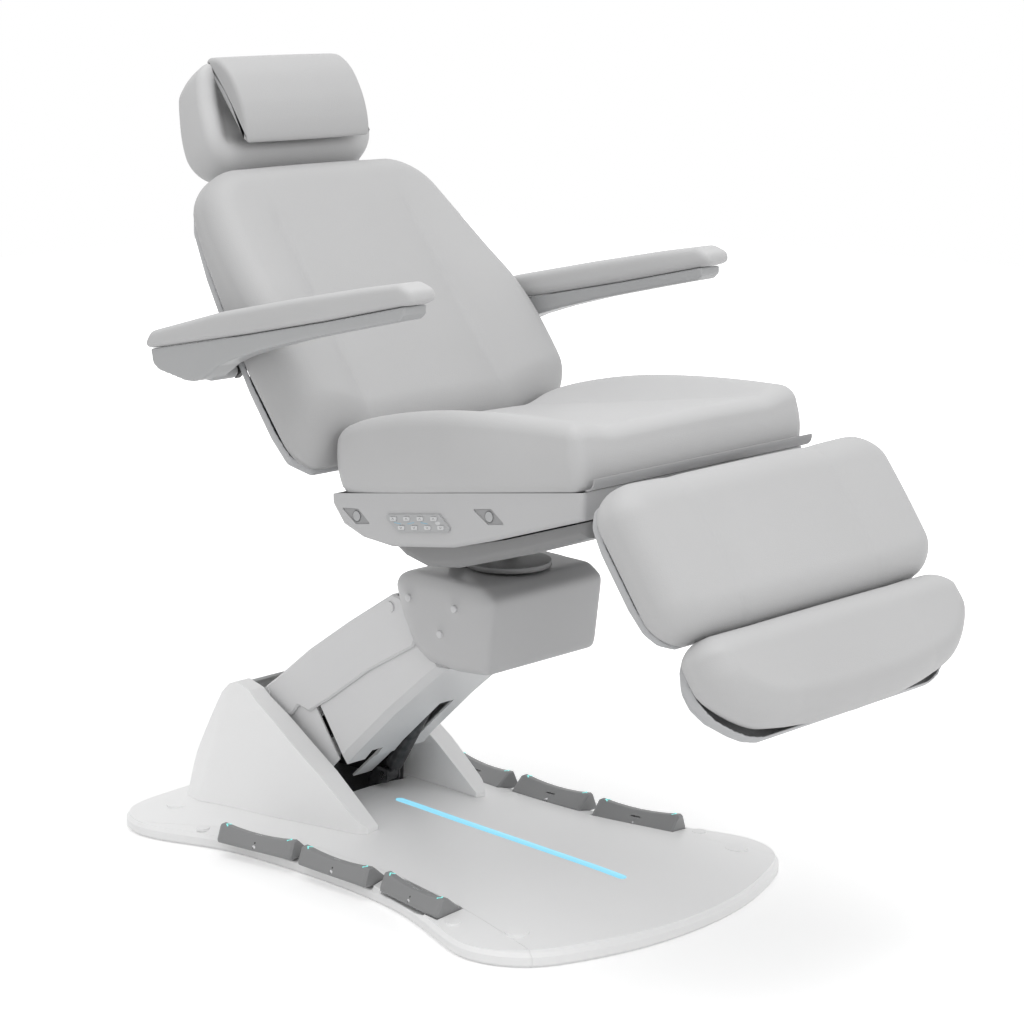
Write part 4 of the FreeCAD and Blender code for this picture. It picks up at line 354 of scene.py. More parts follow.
# %% Glowing materials
def glowing(name, colour, strength):
    material, shader, tone = new_material(name, colour, roughness=0.4, spread=0.03, amount=0.02, spots=40.0,
                                          colour_socket="Emission Color")
    set_inputs(shader, Base_Color=(0.02, 0.03, 0.03, 1.0), Specular_IOR_Level=0.1, Emission_Strength=strength)
    return material


strip_light = glowing("light strip", (0.31, 0.77, 1.0), 0.98)
mark_light = glowing("pedal mark light", (0.30, 0.92, 0.88), 1.0)
icon_light = glowing("key icon light", (0.20, 0.50, 0.68), 0.9)
print("lights ready")

# %% [markdown]
# ## Dressing the hard pieces
# The CAD pieces keep their meshes. Only the material in their slots changes, so this is a table of which
# piece wears which finish.

# %% Give every CAD node its finish
finish_of = {
    seat_fabric: ["seat_cushion", "headrest_cushion", "arm_pad_left", "arm_pad_right"],
    back_fabric: ["back_cushion", "head_pillow"],
    leg_fabric: ["leg_cushion", "foot_cushion"],
    base_plastic_painted_light: ["base_shell", "pedal_decks", "tower_cover"],
    white_plastic: ["upper_arm_cover", "lower_arm_cover"],
    cover_plastic_painted_shade: ["head_cover", "seat_cover"],
    pan_plastic_painted_shade: ["under_pan"],
    grey_plastic: ["back_shell", "headrest_shell", "leg_shell", "foot_shell"],
    arm_plastic: ["arm_shell_left", "arm_shell_right"],
    pedal_plastic: [name for name in nodes if name.startswith(("pedal_left", "pedal_right"))],
    panel_plastic: ["control_panel"],
    key_plastic: [name for name in nodes if name.startswith("key_")],
    housing_plastic: ["power_unit", "back_drive_body", "leg_drive_body", "tilt_drive_body"],
    strip_rubber: ["seat_flap"],
    black_paint: ["tower_frame", "upper_link_bars", "lower_link_bars", "lift_actuator_body", "head_frame",
                  "turntable", "seat_frame", "back_frame", "leg_frame"],
    plate_paint: ["base_plate"],
    bright_steel: ["base_pins", "lift_actuator_rod", "back_drive_rod", "leg_drive_rod", "tilt_drive_rod",
                   "headrest_bar", "foot_rails"],
    strip_light: ["light_strip"],
}


def dress(piece, material):
    if not piece.material_slots:
        piece.data.materials.append(material)
    for place in piece.material_slots:
        place.material = material


for material, names in finish_of.items():
    for name in names:
        dress(nodes[name], material)
dressed = sum(len(names) for names in finish_of.values())
print(dressed, "nodes dressed,", len(nodes) - dressed, "left")

# %% [markdown]
# ## Upholstery as forms
# Foam pads of this kind have a measured outline, one radius all round their face, and a flat back on a
# shell. That is a job for a grid laid over the outline. Each point's height comes from three things: how
# far it is from the outline, the crown of the middle panel, and the wing that rises beyond the fold. A
# cloth run would be the other way, but foam this firm under a tight cover shows no free folds.

# %% Mesh helpers
merge_distance = 0.00001


def new_piece(name, mesh):
    piece = bpy.data.objects.new(name, mesh)
    bpy.context.scene.collection.objects.link(piece)
    return piece


def apply_modifiers(piece):
    graph = bpy.context.evaluated_depsgraph_get()
    mesh = bpy.data.meshes.new_from_object(piece.evaluated_get(graph))
    piece.modifiers.clear()
    old = piece.data
    piece.data = mesh
    bpy.data.meshes.remove(old)


def shade_smooth(piece):
    piece.data.polygons.foreach_set("use_smooth", [True] * len(piece.data.polygons))


def band(first, second):
    following = [*range(1, len(first)), 0]
    return [(first[n], first[m], second[m], second[n]) for n, m in enumerate(following)]


def mesh_piece(name, points, faces):
    mesh = bpy.data.meshes.new(name)
    mesh.from_pydata([tuple(p) for p in points], [], faces)
    form = bmesh.new()
    form.from_mesh(mesh)
    bmesh.ops.remove_doubles(form, verts=form.verts, dist=merge_distance)
    bmesh.ops.recalc_face_normals(form, faces=form.faces)
    form.to_mesh(mesh)
    form.free()
    piece = new_piece(name, mesh)
    shade_smooth(piece)
    return piece


print("mesh helpers ready")

# %% [markdown]
# ### Frames that lean
# The seat, the back and the leg rest each lean, so a pad is written in its own frame: across, along the
# pad, and out towards the sitter. These are the same frames that the CAD model uses.

# %% The three leaning frames
class LeaningFrame:
    def __init__(self, y, z, lean_degrees):
        lean = math.radians(lean_degrees)
        self.origin = np.array((0.0, y, z))
        self.along = np.array((0.0, math.cos(lean), math.sin(lean)))
        out = np.cross(self.along, (1.0, 0.0, 0.0))
        self.out = out if out[2] > 0.0 else -out

    def place(self, x, along, out):
        across = np.array((1.0, 0.0, 0.0))
        return (self.origin + np.multiply.outer(x, across) + np.multiply.outer(along, self.along)
                + np.multiply.outer(out, self.out))


seat_tilt, back_lean, leg_lean = 8.1, 37.7, 35.5
seat_frame = LeaningFrame(y=0.0, z=0.752, lean_degrees=180.0 - seat_tilt)
back_frame = LeaningFrame(y=0.012, z=0.868, lean_degrees=90.0 - back_lean)
leg_frame = LeaningFrame(y=-0.737, z=0.860, lean_degrees=270.0 - leg_lean)
print("the seat runs along", [round(float(v), 3) for v in seat_frame.along])

# %% [markdown]
# ### Curves through a few numbers
# A pad's width and the height of its wings are known at a few places. The curve through them is made of
# cubic steps that lie level where the numbers turn, so it hardly overshoots, where a plain spline would put
# bumps between them.

# %% A smooth table
def smooth_table(pairs, places):
    xs, ys = np.array(pairs, float).T
    steps = np.diff(xs)
    rises = np.diff(ys) / steps
    slopes = np.concatenate(([rises[0]], (rises[:-1] + rises[1:]) / 2, [rises[-1]]))
    turning = np.concatenate(([False], rises[:-1] * rises[1:] <= 0.0, [False]))
    slopes[turning] = 0.0
    places = np.clip(places, xs[0], xs[-1])
    cell = np.clip(np.searchsorted(xs, places, side="right") - 1, 0, len(steps) - 1)
    t = (places - xs[cell]) / steps[cell]
    return ((2 * t ** 3 - 3 * t ** 2 + 1) * ys[cell] + (t ** 3 - 2 * t ** 2 + t) * steps[cell] * slopes[cell]
            + (-2 * t ** 3 + 3 * t ** 2) * ys[cell + 1] + (t ** 3 - t ** 2) * steps[cell] * slopes[cell + 1])


def soft_step(share):
    return share ** 2 * (3.0 - 2.0 * share)


def eased(length, zone, end_count, middle_count):
    ends = [zone * (1.0 - math.cos(math.pi / 2 * i / end_count)) for i in range(end_count)]
    middle = [zone + (length - 2 * zone) * i / middle_count for i in range(middle_count + 1)]
    return np.array(ends + middle + [length - e for e in reversed(ends)])


print("a smooth table at 0.5:", round(float(smooth_table([(0, 0), (1, 1)], np.array([0.5]))[0]), 3))

# %% [markdown]
# ### Distance to the outline
# The edge radius follows the distance from each grid point to the outline, so it runs round the corners by
# itself. A bevel would have to be fitted to each corner.

# %% Distance to a closed outline
def outline_distance(points, outline):
    nearest = np.full(len(points), 1e9)
    for start, end in zip(outline, np.roll(outline, -1, axis=0)):
        line = end - start
        length = max(float(line @ line), 1e-14)
        share = np.clip(((points - start) @ line) / length, 0.0, 1.0)
        gap = points - (start + share[:, None] * line)
        nearest = np.minimum(nearest, np.hypot(gap[:, 0], gap[:, 1]))
    return nearest


print("distance helper ready")

# %% [markdown]
# ### The pad recipe
# A grid over the outline makes the face. Its rim drops down the side in a few rows that swell and then draw
# in to the shell, and the same grid, laid flat, closes the back.

# %% Height of the face
fold_groove = (0.0014, 0.004)
fold_valley = (0.0030, 0.022)
stitch_pucker = (0.00035, 0.010)
stitch_pitch = 0.011
full_fold_wing = 0.006
edge_kept_level = 0.8
least_wing = 0.01


def dip(away, depth, width):
    return depth * np.exp(-(away / width) ** 2)


def face_height(x, along, half, pad):
    share = (along - pad["start"]) / pad["long"]
    height = np.zeros_like(x)
    if "seam" in pad:
        seam = smooth_table(pad["seam"], share)
        wing = smooth_table(pad["wing"], share)
        wing_width = np.maximum(half - pad["edge"] * edge_kept_level - seam, least_wing)
        beyond = np.clip((np.abs(x) - seam) / wing_width, 0.0, 1.0)
        if pad["fold"] == "sewn":
            rise = np.sin(beyond * math.pi / 2)
        else:
            rise = (1.0 - np.cos(beyond * math.pi)) / 2
        middle = 1.0 - np.clip(np.abs(x) / seam, 0.0, 1.0) ** 2
        height += pad["crown"] * middle + wing * rise
        if pad["fold"] == "sewn":
            away = np.abs(np.abs(x) - seam)
            fade = np.clip(wing / full_fold_wing, 0.0, 1.0)
            pucker = 0.5 + 0.5 * np.sin(along * 2 * math.pi / stitch_pitch)
            height -= fade * (dip(away, *fold_groove) + dip(away, *fold_valley)
                              + pucker * dip(away, *stitch_pucker))
    if "slope" in pad:
        height += smooth_table(pad["slope"], share)
    if "hollow" in pad:
        depth, reach = pad["hollow"]
        height -= depth * soft_step(np.clip(pad["rim"] / reach, 0.0, 1.0))
    return height


print("face height ready")

# %% [markdown]
# ### Sides and back of a pad
# Below its round edge a cushion's side swells a little and then draws in to its shell. A short list of rows
# gives that curve the whole way round. It is simpler than sculpting, and alike on every pad.

# %% Back, sides and lean of a pad
side_rows = 7
tuck = 0.3
lobe_blend = 0.010


def pad_base(x, along, pad):
    if "lobes" not in pad:
        return np.full_like(x, pad["base"])
    inner, depths = pad["lobes"]
    share = np.clip((np.abs(x) - inner) / lobe_blend, 0.0, 1.0)
    depth = smooth_table(depths, (along - pad["start"]) / pad["long"])
    return pad["base"] - depth * soft_step(share)


def pad_side(pad):
    rows = []
    for k in range(1, side_rows + 1):
        share = k / (side_rows + 1)
        rows.append((share, pad["swell"] * math.sin(math.pi * share) - pad["draw"] * share ** 2, 0.0))
    foot = pad["foot"]
    rows.append((1.0, -pad["draw"], foot))
    rows.append((1.0, -pad["draw"] - foot * tuck, foot * tuck))
    return rows


def lean_of(along, out, pad):
    lean, reach = pad.get("lean", (0.0, 1.0))
    near_end = np.clip(1.0 - (along - pad["start"]) / reach, 0.0, 1.0)
    return lean * near_end * (pad["top"] - out) / (pad["top"] - pad["base"])


print("a pad's side has", side_rows + 2, "rows")

# %% [markdown]
# ### One mesh from face, sides and back
# The grid's rows crowd towards the edges, where the curve is, and spread out in the middle. An even grid
# would need far more faces for the same round edge.

# %% Build a pad
edge_steps = 11
cross_steps = 60


def pad_grid(pad):
    zone = max(pad["corner"], pad["edge"])
    v = eased(pad["long"], zone, edge_steps, pad.get("rows", 34)) / pad["long"]
    near = np.minimum(v, 1.0 - v) * pad["long"]
    corner = np.where(v < 0.5, pad["corner"], pad.get("far_corner", pad["corner"]))
    round_off = corner - np.sqrt(np.maximum(corner ** 2 - (corner - near) ** 2, 0.0))
    lost = np.where(near < corner, round_off, 0.0)
    half = smooth_table(pad["half"], v) - lost
    u = eased(2.0, pad["edge"] / pad["half"][0][1], edge_steps, cross_steps) - 1.0
    if "seam" in pad:
        inner = pad["seam"][0][1] / pad["half"][0][1]
        for fold in (inner, -inner):
            u[np.argmin(np.abs(u - fold))] = fold
    x = np.multiply.outer(half, u)
    ends = smooth_table(pad["bow"], np.abs(x)) if "bow" in pad else np.zeros_like(x)
    along = pad["start"] + np.multiply.outer(v, np.ones_like(u)) * (pad["long"] - ends)
    return x, along, np.multiply.outer(half + lost, np.ones_like(u))


def pad_faces(rows, columns, rim_index, layer_count):
    grid = rows * columns
    ring = len(rim_index)
    back = grid + layer_count * ring
    faces = []
    for i in range(rows - 1):
        for j in range(columns - 1):
            a = i * columns + j
            b = back + a
            faces.append((a, a + 1, a + columns + 1, a + columns))
            faces.append((b, b + columns, b + columns + 1, b + 1))
    rim = [i * columns + j for i, j in rim_index]
    chains = [rim] + [list(range(grid + k * ring, grid + (k + 1) * ring)) for k in range(layer_count)]
    chains.append([back + place for place in rim])
    for upper, lower in zip(chains, chains[1:]):
        faces += band(upper, lower)
    return faces


def pad_form(name, place, pad):
    x, along, full_half = pad_grid(pad)
    rows, columns = x.shape
    rim_index = ([(0, j) for j in range(columns)] + [(i, columns - 1) for i in range(1, rows)]
                 + [(rows - 1, j) for j in range(columns - 2, -1, -1)]
                 + [(i, 0) for i in range(rows - 2, 0, -1)])
    rim = np.array([(x[i, j], along[i, j]) for i, j in rim_index])
    distance = outline_distance(np.column_stack((x.ravel(), along.ravel())), rim).reshape(x.shape)
    pad["rim"] = np.clip(distance - pad["edge"], 0.0, None)
    height = face_height(x, along, full_half, pad)
    inside = 1.0 - np.clip(distance / pad["edge"], 0.0, 1.0)
    face = pad["top"] + height - pad["drop"] * (1.0 - np.sqrt(np.maximum(1.0 - inside ** 2, 0.0)))
    rim_face = np.array([face[i, j] for i, j in rim_index])
    ahead = np.roll(rim, -1, axis=0) - np.roll(rim, 1, axis=0)
    outward = np.column_stack((ahead[:, 1], -ahead[:, 0]))
    outward /= np.maximum(np.hypot(outward[:, 0], outward[:, 1]), 1e-9)[:, None]
    layers = [(x, along, face)]
    for share, grow, lift in pad_side(pad):
        side_x, side_along = (rim + outward * grow).T
        rim_base = pad_base(rim[:, 0], rim[:, 1], pad)
        layers.append((side_x, side_along, rim_face * (1.0 - share) + rim_base * share + lift))
    back_x = x * (1.0 - pad["foot"] / x.max())
    back_along = along + (np.mean(along) - along) * pad["foot"] / (pad["long"] / 2)
    layers.append((back_x, back_along, pad_base(back_x, back_along, pad)))
    points = []
    for across, run, out in layers:
        run = run - lean_of(run, out, pad)
        points.append(place.place(across.ravel(), run.ravel(), out.ravel()))
    return mesh_piece(name, np.concatenate(points), pad_faces(rows, columns, rim_index, len(layers) - 2))


def detail(piece, material, body, slot):
    dress(piece, material)
    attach(piece, body)
    return piece


def finish_cushion(piece, node, material, slot):
    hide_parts(node)
    detail(piece, material, body_of_node[node], slot)
    print(piece.name, len(piece.data.polygons), "faces, stands for", node)


def cushion(node, place, pad, material, slot):
    finish_cushion(pad_form(node + "_form", place, pad), node, material, slot)


print("pad recipe ready")

# %% [markdown]
# ### Seat cushion
# Two long bolsters swell above a flat middle and run down to the front corners. The slope between them is
# one soft S-curve with no sewn line. Bolsters made as separate tubes would leave a crease that the real
# seat doesn't have.

# %% Seat cushion
seat_pad = {
    "start": 0.0, "long": 0.611, "top": 0.101, "base": 0.0, "corner": 0.034, "far_corner": 0.026,
    "half": [(0.0, 0.296), (0.15, 0.302), (0.5, 0.303), (1.0, 0.302)], "edge": 0.034, "drop": 0.030,
    "seam": [(0.0, 0.185), (0.5, 0.180), (1.0, 0.200)], "crown": 0.003, "fold": "soft",
    "wing": [(0.0, 0.010), (0.10, 0.026), (0.25, 0.037), (0.42, 0.041), (0.62, 0.036), (0.80, 0.026),
             (1.0, 0.010)],
    "swell": 0.004, "draw": 0.004, "foot": 0.008}
cushion("seat_cushion", seat_frame, seat_pad, seat_fabric, "upholstery_seat")

# %% [markdown]
# ### Back cushion
# The middle panel narrows a little towards the top. The wings stand 40 mm proud at the waist and die out
# below the shoulders, so each fold fades with them. The fold is a narrow groove in a shallow valley, made in
# the mesh, since a bump alone would not show in the outline. The lower end is cut back at a slant to pass
# the seat.

# %% Back cushion
back_pad = {
    "start": 0.0, "long": 0.578, "top": 0.0, "base": -0.080, "corner": 0.050, "far_corner": 0.078,
    "half": [(0.0, 0.346), (0.12, 0.350), (0.25, 0.350), (0.39, 0.345), (0.555, 0.332), (0.75, 0.314),
             (0.90, 0.292), (1.0, 0.270)],
    "edge": 0.050, "drop": 0.048, "seam": [(0.0, 0.178), (1.0, 0.166)], "crown": 0.003, "fold": "sewn",
    "wing": [(0.0, 0.036), (0.25, 0.040), (0.42, 0.036), (0.60, 0.018), (0.78, 0.004), (0.90, 0.0),
             (1.0, 0.0)],
    "swell": 0.003, "draw": 0.004, "foot": 0.010, "lean": (0.052, 0.127)}
cushion("back_cushion", back_frame, back_pad, back_fabric, "upholstery_back")

# %% [markdown]
# ### Leg rest and foot rest
# These two pads share their folds, which line up from one to the other, so both are written in one leaning
# frame with the same seam. The foot rest's lower edge is bowed by shortening its columns towards the sides.

# %% Leg rest and foot rest cushions
leg_pad = {
    "start": -0.030, "long": 0.279, "top": 0.0, "base": -0.075, "corner": 0.062,
    "half": [(0.0, 0.352), (0.2, 0.362), (0.8, 0.362), (1.0, 0.354)], "edge": 0.056, "drop": 0.050,
    "seam": [(0.0, 0.187), (1.0, 0.187)], "crown": 0.003, "fold": "sewn",
    "wing": [(0.0, 0.006), (0.5, 0.009), (1.0, 0.006)], "swell": 0.002, "draw": 0.003, "foot": 0.006,
    "rows": 22}
cushion("leg_cushion", leg_frame, leg_pad, leg_fabric, "upholstery_leg")
foot_pad = {
    "start": 0.254, "long": 0.182, "top": 0.020, "base": -0.060, "corner": 0.046, "far_corner": 0.075,
    "half": [(0.0, 0.335), (0.3, 0.345), (0.62, 0.343), (1.0, 0.318)], "edge": 0.045, "drop": 0.056,
    "seam": [(0.0, 0.187), (1.0, 0.187)], "crown": 0.002, "fold": "sewn",
    "bow": [(0.0, 0.0), (0.126, 0.004), (0.233, 0.018), (0.30, 0.034), (0.35, 0.05)],
    "wing": [(0.0, 0.002), (0.5, 0.003), (1.0, 0.002)], "swell": 0.002, "draw": 0.003, "foot": 0.008,
    "rows": 18}
cushion("foot_cushion", leg_frame, foot_pad, leg_fabric, "upholstery_leg")

# %% [markdown]
# ### Head rest
# The head rest is a deep soft block with a rim all round and a hollow that holds the pillow. Its sides run
# further back than its middle, past the shell, and its face slopes away towards the bottom. A boolean cut
# would give the hollow a hard rim, so the face sinks with the distance from its edge instead.

# %% Head rest cushion
head_pad = {
    "start": 0.597, "long": 0.197, "top": 0.0, "base": -0.071, "corner": 0.060, "far_corner": 0.030,
    "half": [(0.0, 0.213), (0.35, 0.212), (0.7, 0.202), (1.0, 0.187)], "edge": 0.024, "drop": 0.020,
    "slope": [(0.0, -0.050), (0.12, -0.036), (0.33, -0.020), (0.65, -0.005), (0.88, 0.010), (1.0, 0.022)],
    "hollow": (0.030, 0.050), "swell": 0.003, "draw": 0.004, "foot": 0.008, "rows": 24,
    "lobes": (0.153, [(0.0, 0.052), (0.45, 0.040), (0.8, 0.018), (1.0, 0.003)])}
cushion("headrest_cushion", back_frame, head_pad, seat_fabric, "upholstery_seat")

# %% [markdown]
# ### Pillow
# The pillow is a half round bolster. Its ends are flat panels sewn in with a rounded border, so it is
# lofted across from one side profile that shrinks by the border's radius at each end.

# %% Head pillow
pillow_border = 0.010
pillow_crown = 0.001
end_steps = 7
middle_steps = 44
end_panel_shares = (0.15, 0.5, 0.8)


def closed_profile(shares, start, size, count):
    knots = np.array(start) + np.array(shares) * size
    total = len(knots)
    places = np.linspace(0.0, total, count, endpoint=False)
    cell = places.astype(int)
    t = (places - cell)[:, None]
    a, b, c, d = (knots[(cell + shift) % total] for shift in (-1, 0, 1, 2))
    return 0.5 * (2 * b + (c - a) * t + (2 * a - 5 * b + 4 * c - d) * t ** 2
                  + (3 * b - a - 3 * c + d) * t ** 3)


def shrunk(profile, distance):
    ahead = np.roll(profile, -1, axis=0) - np.roll(profile, 1, axis=0)
    inward = np.column_stack((-ahead[:, 1], ahead[:, 0]))
    inward /= np.maximum(np.hypot(inward[:, 0], inward[:, 1]), 1e-9)[:, None]
    area = np.sum(profile[:, 0] * np.roll(profile[:, 1], -1) - profile[:, 1] * np.roll(profile[:, 0], -1))
    return profile + inward * distance * (1.0 if area > 0.0 else -1.0)


def bolster(name, place, profile, half):
    rows = []
    for x in eased(2 * half, pillow_border, end_steps, middle_steps) - half:
        depth = pillow_border - min(half - abs(x), pillow_border)
        lost = pillow_border - math.sqrt(pillow_border ** 2 - depth ** 2)
        loop = shrunk(profile, lost - pillow_crown * (1.0 - (x / half) ** 2))
        rows.append(place.place(np.full(len(loop), x), loop[:, 0], loop[:, 1]))
    size = len(profile)
    faces = []
    for k in range(len(rows) - 1):
        faces += band(range(k * size, (k + 1) * size), range((k + 1) * size, (k + 2) * size))
    points = list(np.concatenate(rows))
    for first, row in ((0, rows[0]), ((len(rows) - 1) * size, rows[-1])):
        centre = row.mean(axis=0)
        outer = range(first, first + size)
        for share in end_panel_shares:
            inner = range(len(points), len(points) + size)
            points += list(row + (centre - row) * share)
            faces += band(outer, inner)
            outer = inner
        faces.append(tuple(outer))
    return mesh_piece(name, points, faces)


pillow_shares = [(0.97, 0.32), (1.0, 0.42), (0.98, 0.58), (0.88, 0.86), (0.68, 1.02), (0.43, 0.95),
                 (0.24, 0.77), (0.10, 0.54), (0.05, 0.38), (0.09, 0.30), (0.25, 0.28), (0.50, 0.28),
                 (0.80, 0.29)]
pillow_profile = closed_profile(pillow_shares, start=(0.602, -0.020), size=(0.199, 0.068), count=120)
pillow = bolster("head_pillow_form", back_frame, pillow_profile, half=0.160)
finish_cushion(pillow, "head_pillow", back_fabric, "upholstery_back")

# %% [markdown]
# ### Armrest pads
# The pads are thin firm foam with a rounded top edge all round. Their CAD solids have the true side
# outline, so a copy is remeshed into even small faces and smoothed until its bevels are round.

# %% Remesh and round a CAD form
def rounded_copy(name, node, voxel, rounds):
    piece = new_piece(name, nodes[node].data.copy())
    remesh = piece.modifiers.new("even faces", "REMESH")
    remesh.mode = "VOXEL"
    remesh.voxel_size = voxel
    apply_modifiers(piece)
    smooth = piece.modifiers.new("soften", "SMOOTH")
    smooth.factor = 0.5
    smooth.iterations = rounds
    apply_modifiers(piece)
    shade_smooth(piece)
    return piece


for side in ("left", "right"):
    node = "arm_pad_" + side
    arm_pad = rounded_copy(node + "_form", node, voxel=0.003, rounds=24)
    finish_cushion(arm_pad, node, seat_fabric, "upholstery_seat")

# %% [markdown]
# ## Mouldings
# Behind each pad sits a hard shell with a rounded lip that shows all round the cushion, and the head of the
# arm has soft moulded edges. Their CAD solids have the right planes and bevels, so they are remeshed finely
# and smoothed until each edge has the radius that a moulding has. A bevel modifier would need clean edges
# to follow, which a tessellated CAD solid doesn't have.

# %% Round the mouldings
def moulding(node, material, slot, voxel=0.003, rounds=10):
    piece = rounded_copy(node + "_moulding", node, voxel, rounds)
    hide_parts(node)
    detail(piece, material, body_of_node[node], slot)
    print(piece.name, len(piece.data.polygons), "faces")


for node in ("back_shell", "headrest_shell", "leg_shell", "foot_shell"):
    moulding(node, grey_plastic, "grey_shell")
for node in ("arm_shell_left", "arm_shell_right"):
    moulding(node, arm_plastic, "grey_shell", voxel=0.0025, rounds=8)
moulding("head_cover", cover_plastic_painted_shade, "white_shell", rounds=80)

# %% [markdown]
# ## Small details
# Marks on keys and pedals, the two sockets on each side of the seat and the round caps are too small to be
# CAD nodes of their own. Each rides on the body that it belongs to, so it moves with it in every pose.

# %% Helpers for marks
cap_sides = 28


def prism(name, outline, lift):
    count = len(outline)
    base = np.array(outline, float)
    low, high = range(count), range(count, 2 * count)
    piece = mesh_piece(name, np.concatenate((base, base + lift)), [tuple(low), tuple(high)] + band(low, high))
    piece.data.polygons.foreach_set("use_smooth", [False] * len(piece.data.polygons))
    return piece


def strokes(name, lines, normal, width, proud):
    points = []
    faces = []
    normal = np.array(normal, float)
    for start, end in lines:
        start, end = np.array(start, float), np.array(end, float)
        side = np.cross(normal, end - start)
        side *= width / 2 / max(np.linalg.norm(side), 1e-9)
        a = len(points)
        for lift in (-normal * proud, normal * proud):
            points += [start - side + lift, end - side + lift, end + side + lift, start + side + lift]
        faces += [(a, a + 3, a + 2, a + 1), (a + 4, a + 5, a + 6, a + 7)]
        faces += band(range(a, a + 4), range(a + 4, a + 8))
    mesh = bpy.data.meshes.new(name)
    mesh.from_pydata([tuple(p) for p in points], [], faces)
    return new_piece(name, mesh)


def round_cap(name, centre, axis, radius, height, edge):
    axis = Vector(axis).normalized()
    turn = axis.to_track_quat("Z", "Y")
    rings = [(radius, 0.0), (radius, height - edge)]
    rings += [(radius - edge * (1.0 - math.cos(a)), height - edge + edge * math.sin(a))
              for a in (math.pi / 6, math.pi / 3, math.pi / 2)]
    rings += [(radius * 0.5, height + edge * 0.1)]
    points = []
    for size, level in rings:
        for n in range(cap_sides):
            a = 2 * math.pi * n / cap_sides
            points.append(Vector(centre) + turn @ Vector((size * math.cos(a), size * math.sin(a), level)))
    loops = [range(k * cap_sides, (k + 1) * cap_sides) for k in range(len(rings))]
    faces = [face for lower, upper in zip(loops, loops[1:]) for face in band(lower, upper)]
    return mesh_piece(name, points, faces + [tuple(loops[0]), tuple(loops[-1])])


print("detail helpers ready")

# %% [markdown]
# ### Marks on the pedals
# A small glowing chevron sits near both ends of each pedal's ridge, with pale ticks between them and a dark
# dot on the steep outer face. They could be drawn in the material, but thin strokes of mesh stay sharp close
# up and rock with the pedal.

# %% Pedal marks
pedal_places = {"rear": (0.300, 0.215, 8.5), "middle": (0.292, 0.002, 0.0), "front": (0.300, -0.216, -9.5)}
pedal_low = 0.029
pedal_reach = 0.0925
pedal_ridge = 0.036
pedal_dip = 0.008
ridge_across = 0.0095
chevron_half = 0.006
chevron_tip, chevron_foot = 0.88, 0.80
dot_across, dot_height = 0.0218, 0.0440
tick_places = (-0.006, -0.002, 0.003, 0.007)
tick_ends = (0.0085, 0.0110)
tick_height = 0.0571


def pedal_point(side, place, across, along, height):
    x, y, yaw = pedal_places[place]
    turn = math.radians(yaw)
    px = x + across * math.cos(turn) + along * math.sin(turn)
    py = y - across * math.sin(turn) + along * math.cos(turn)
    return (px if side == "left" else -px, py, height)


def ridge_height(share):
    return pedal_low + pedal_ridge - pedal_dip * (1.0 - share ** 2)


def mark_pedal(side, place):
    name = "pedal_{}_{}".format(side, place)
    body = name + "_rocker"
    lines = []
    for end in (-pedal_reach, pedal_reach):
        tip = pedal_point(side, place, ridge_across, end * chevron_tip, ridge_height(chevron_tip))
        for across in (ridge_across - chevron_half, ridge_across + chevron_half):
            foot = pedal_point(side, place, across, end * chevron_foot, ridge_height(chevron_foot))
            lines.append((foot, tip))
    marks = strokes(name + "_marks", lines, (0.0, 0.0, 1.0), width=0.0026, proud=0.0007)
    detail(marks, mark_light, body, "light_strip")
    inner = np.array(pedal_point(side, place, 0.0, 0.0, 0.0))
    outward = np.array(pedal_point(side, place, 1.0, 0.0, 0.5)) - inner
    dot_place = pedal_point(side, place, dot_across, 0.0, dot_height)
    dot = round_cap(name + "_dot", dot_place, outward, radius=0.0019, height=0.0010, edge=0.0002)
    detail(dot, housing_plastic, body, "electronics")
    lines = [tuple(pedal_point(side, place, across, along, tick_height) for across in tick_ends)
             for along in tick_places]
    ticks = strokes(name + "_tick", lines, (0.0, 0.0, 1.0), width=0.0012, proud=0.0004)
    detail(ticks, key_plastic, body, "key_grey")


for side in ("left", "right"):
    for place in pedal_places:
        mark_pedal(side, place)
print("marks on six pedals")

# %% [markdown]
# ### Marks on the keys
# Each key has an arrow that points up or down. Fine blue lines stand between the two rows, and a pale oval
# joins the last column's keys. Each arrow rides its own key, so a pressed key takes it along.

# %% Key marks
panel_corners = np.array([(-0.125, 0.732), (-0.268, 0.753), (-0.302, 0.726), (-0.167, 0.706)])
column_shares = (0.14, 0.38, 0.62, 0.86)
row_shares = {"up": 0.25, "down": 0.75}
key_face = -0.3015
panel_face = -0.2993
panel_out = (-1.0, 0.0, 0.0)
between_rows = 0.5
arrow_half = 0.0026
arrow_rise = 0.0014
icon_half = 0.0085
icon_rise = 0.0012
oval_half = (0.0060, 0.0032)
oval_sides = 20
oval_sink, oval_thickness = 0.0002, 0.0003


def panel_point(column, row, level):
    a, b, c, d = panel_corners
    top = a + (b - a) * column
    low = d + (c - d) * column
    y, z = top + (low - top) * row
    return np.array((level, y, z))


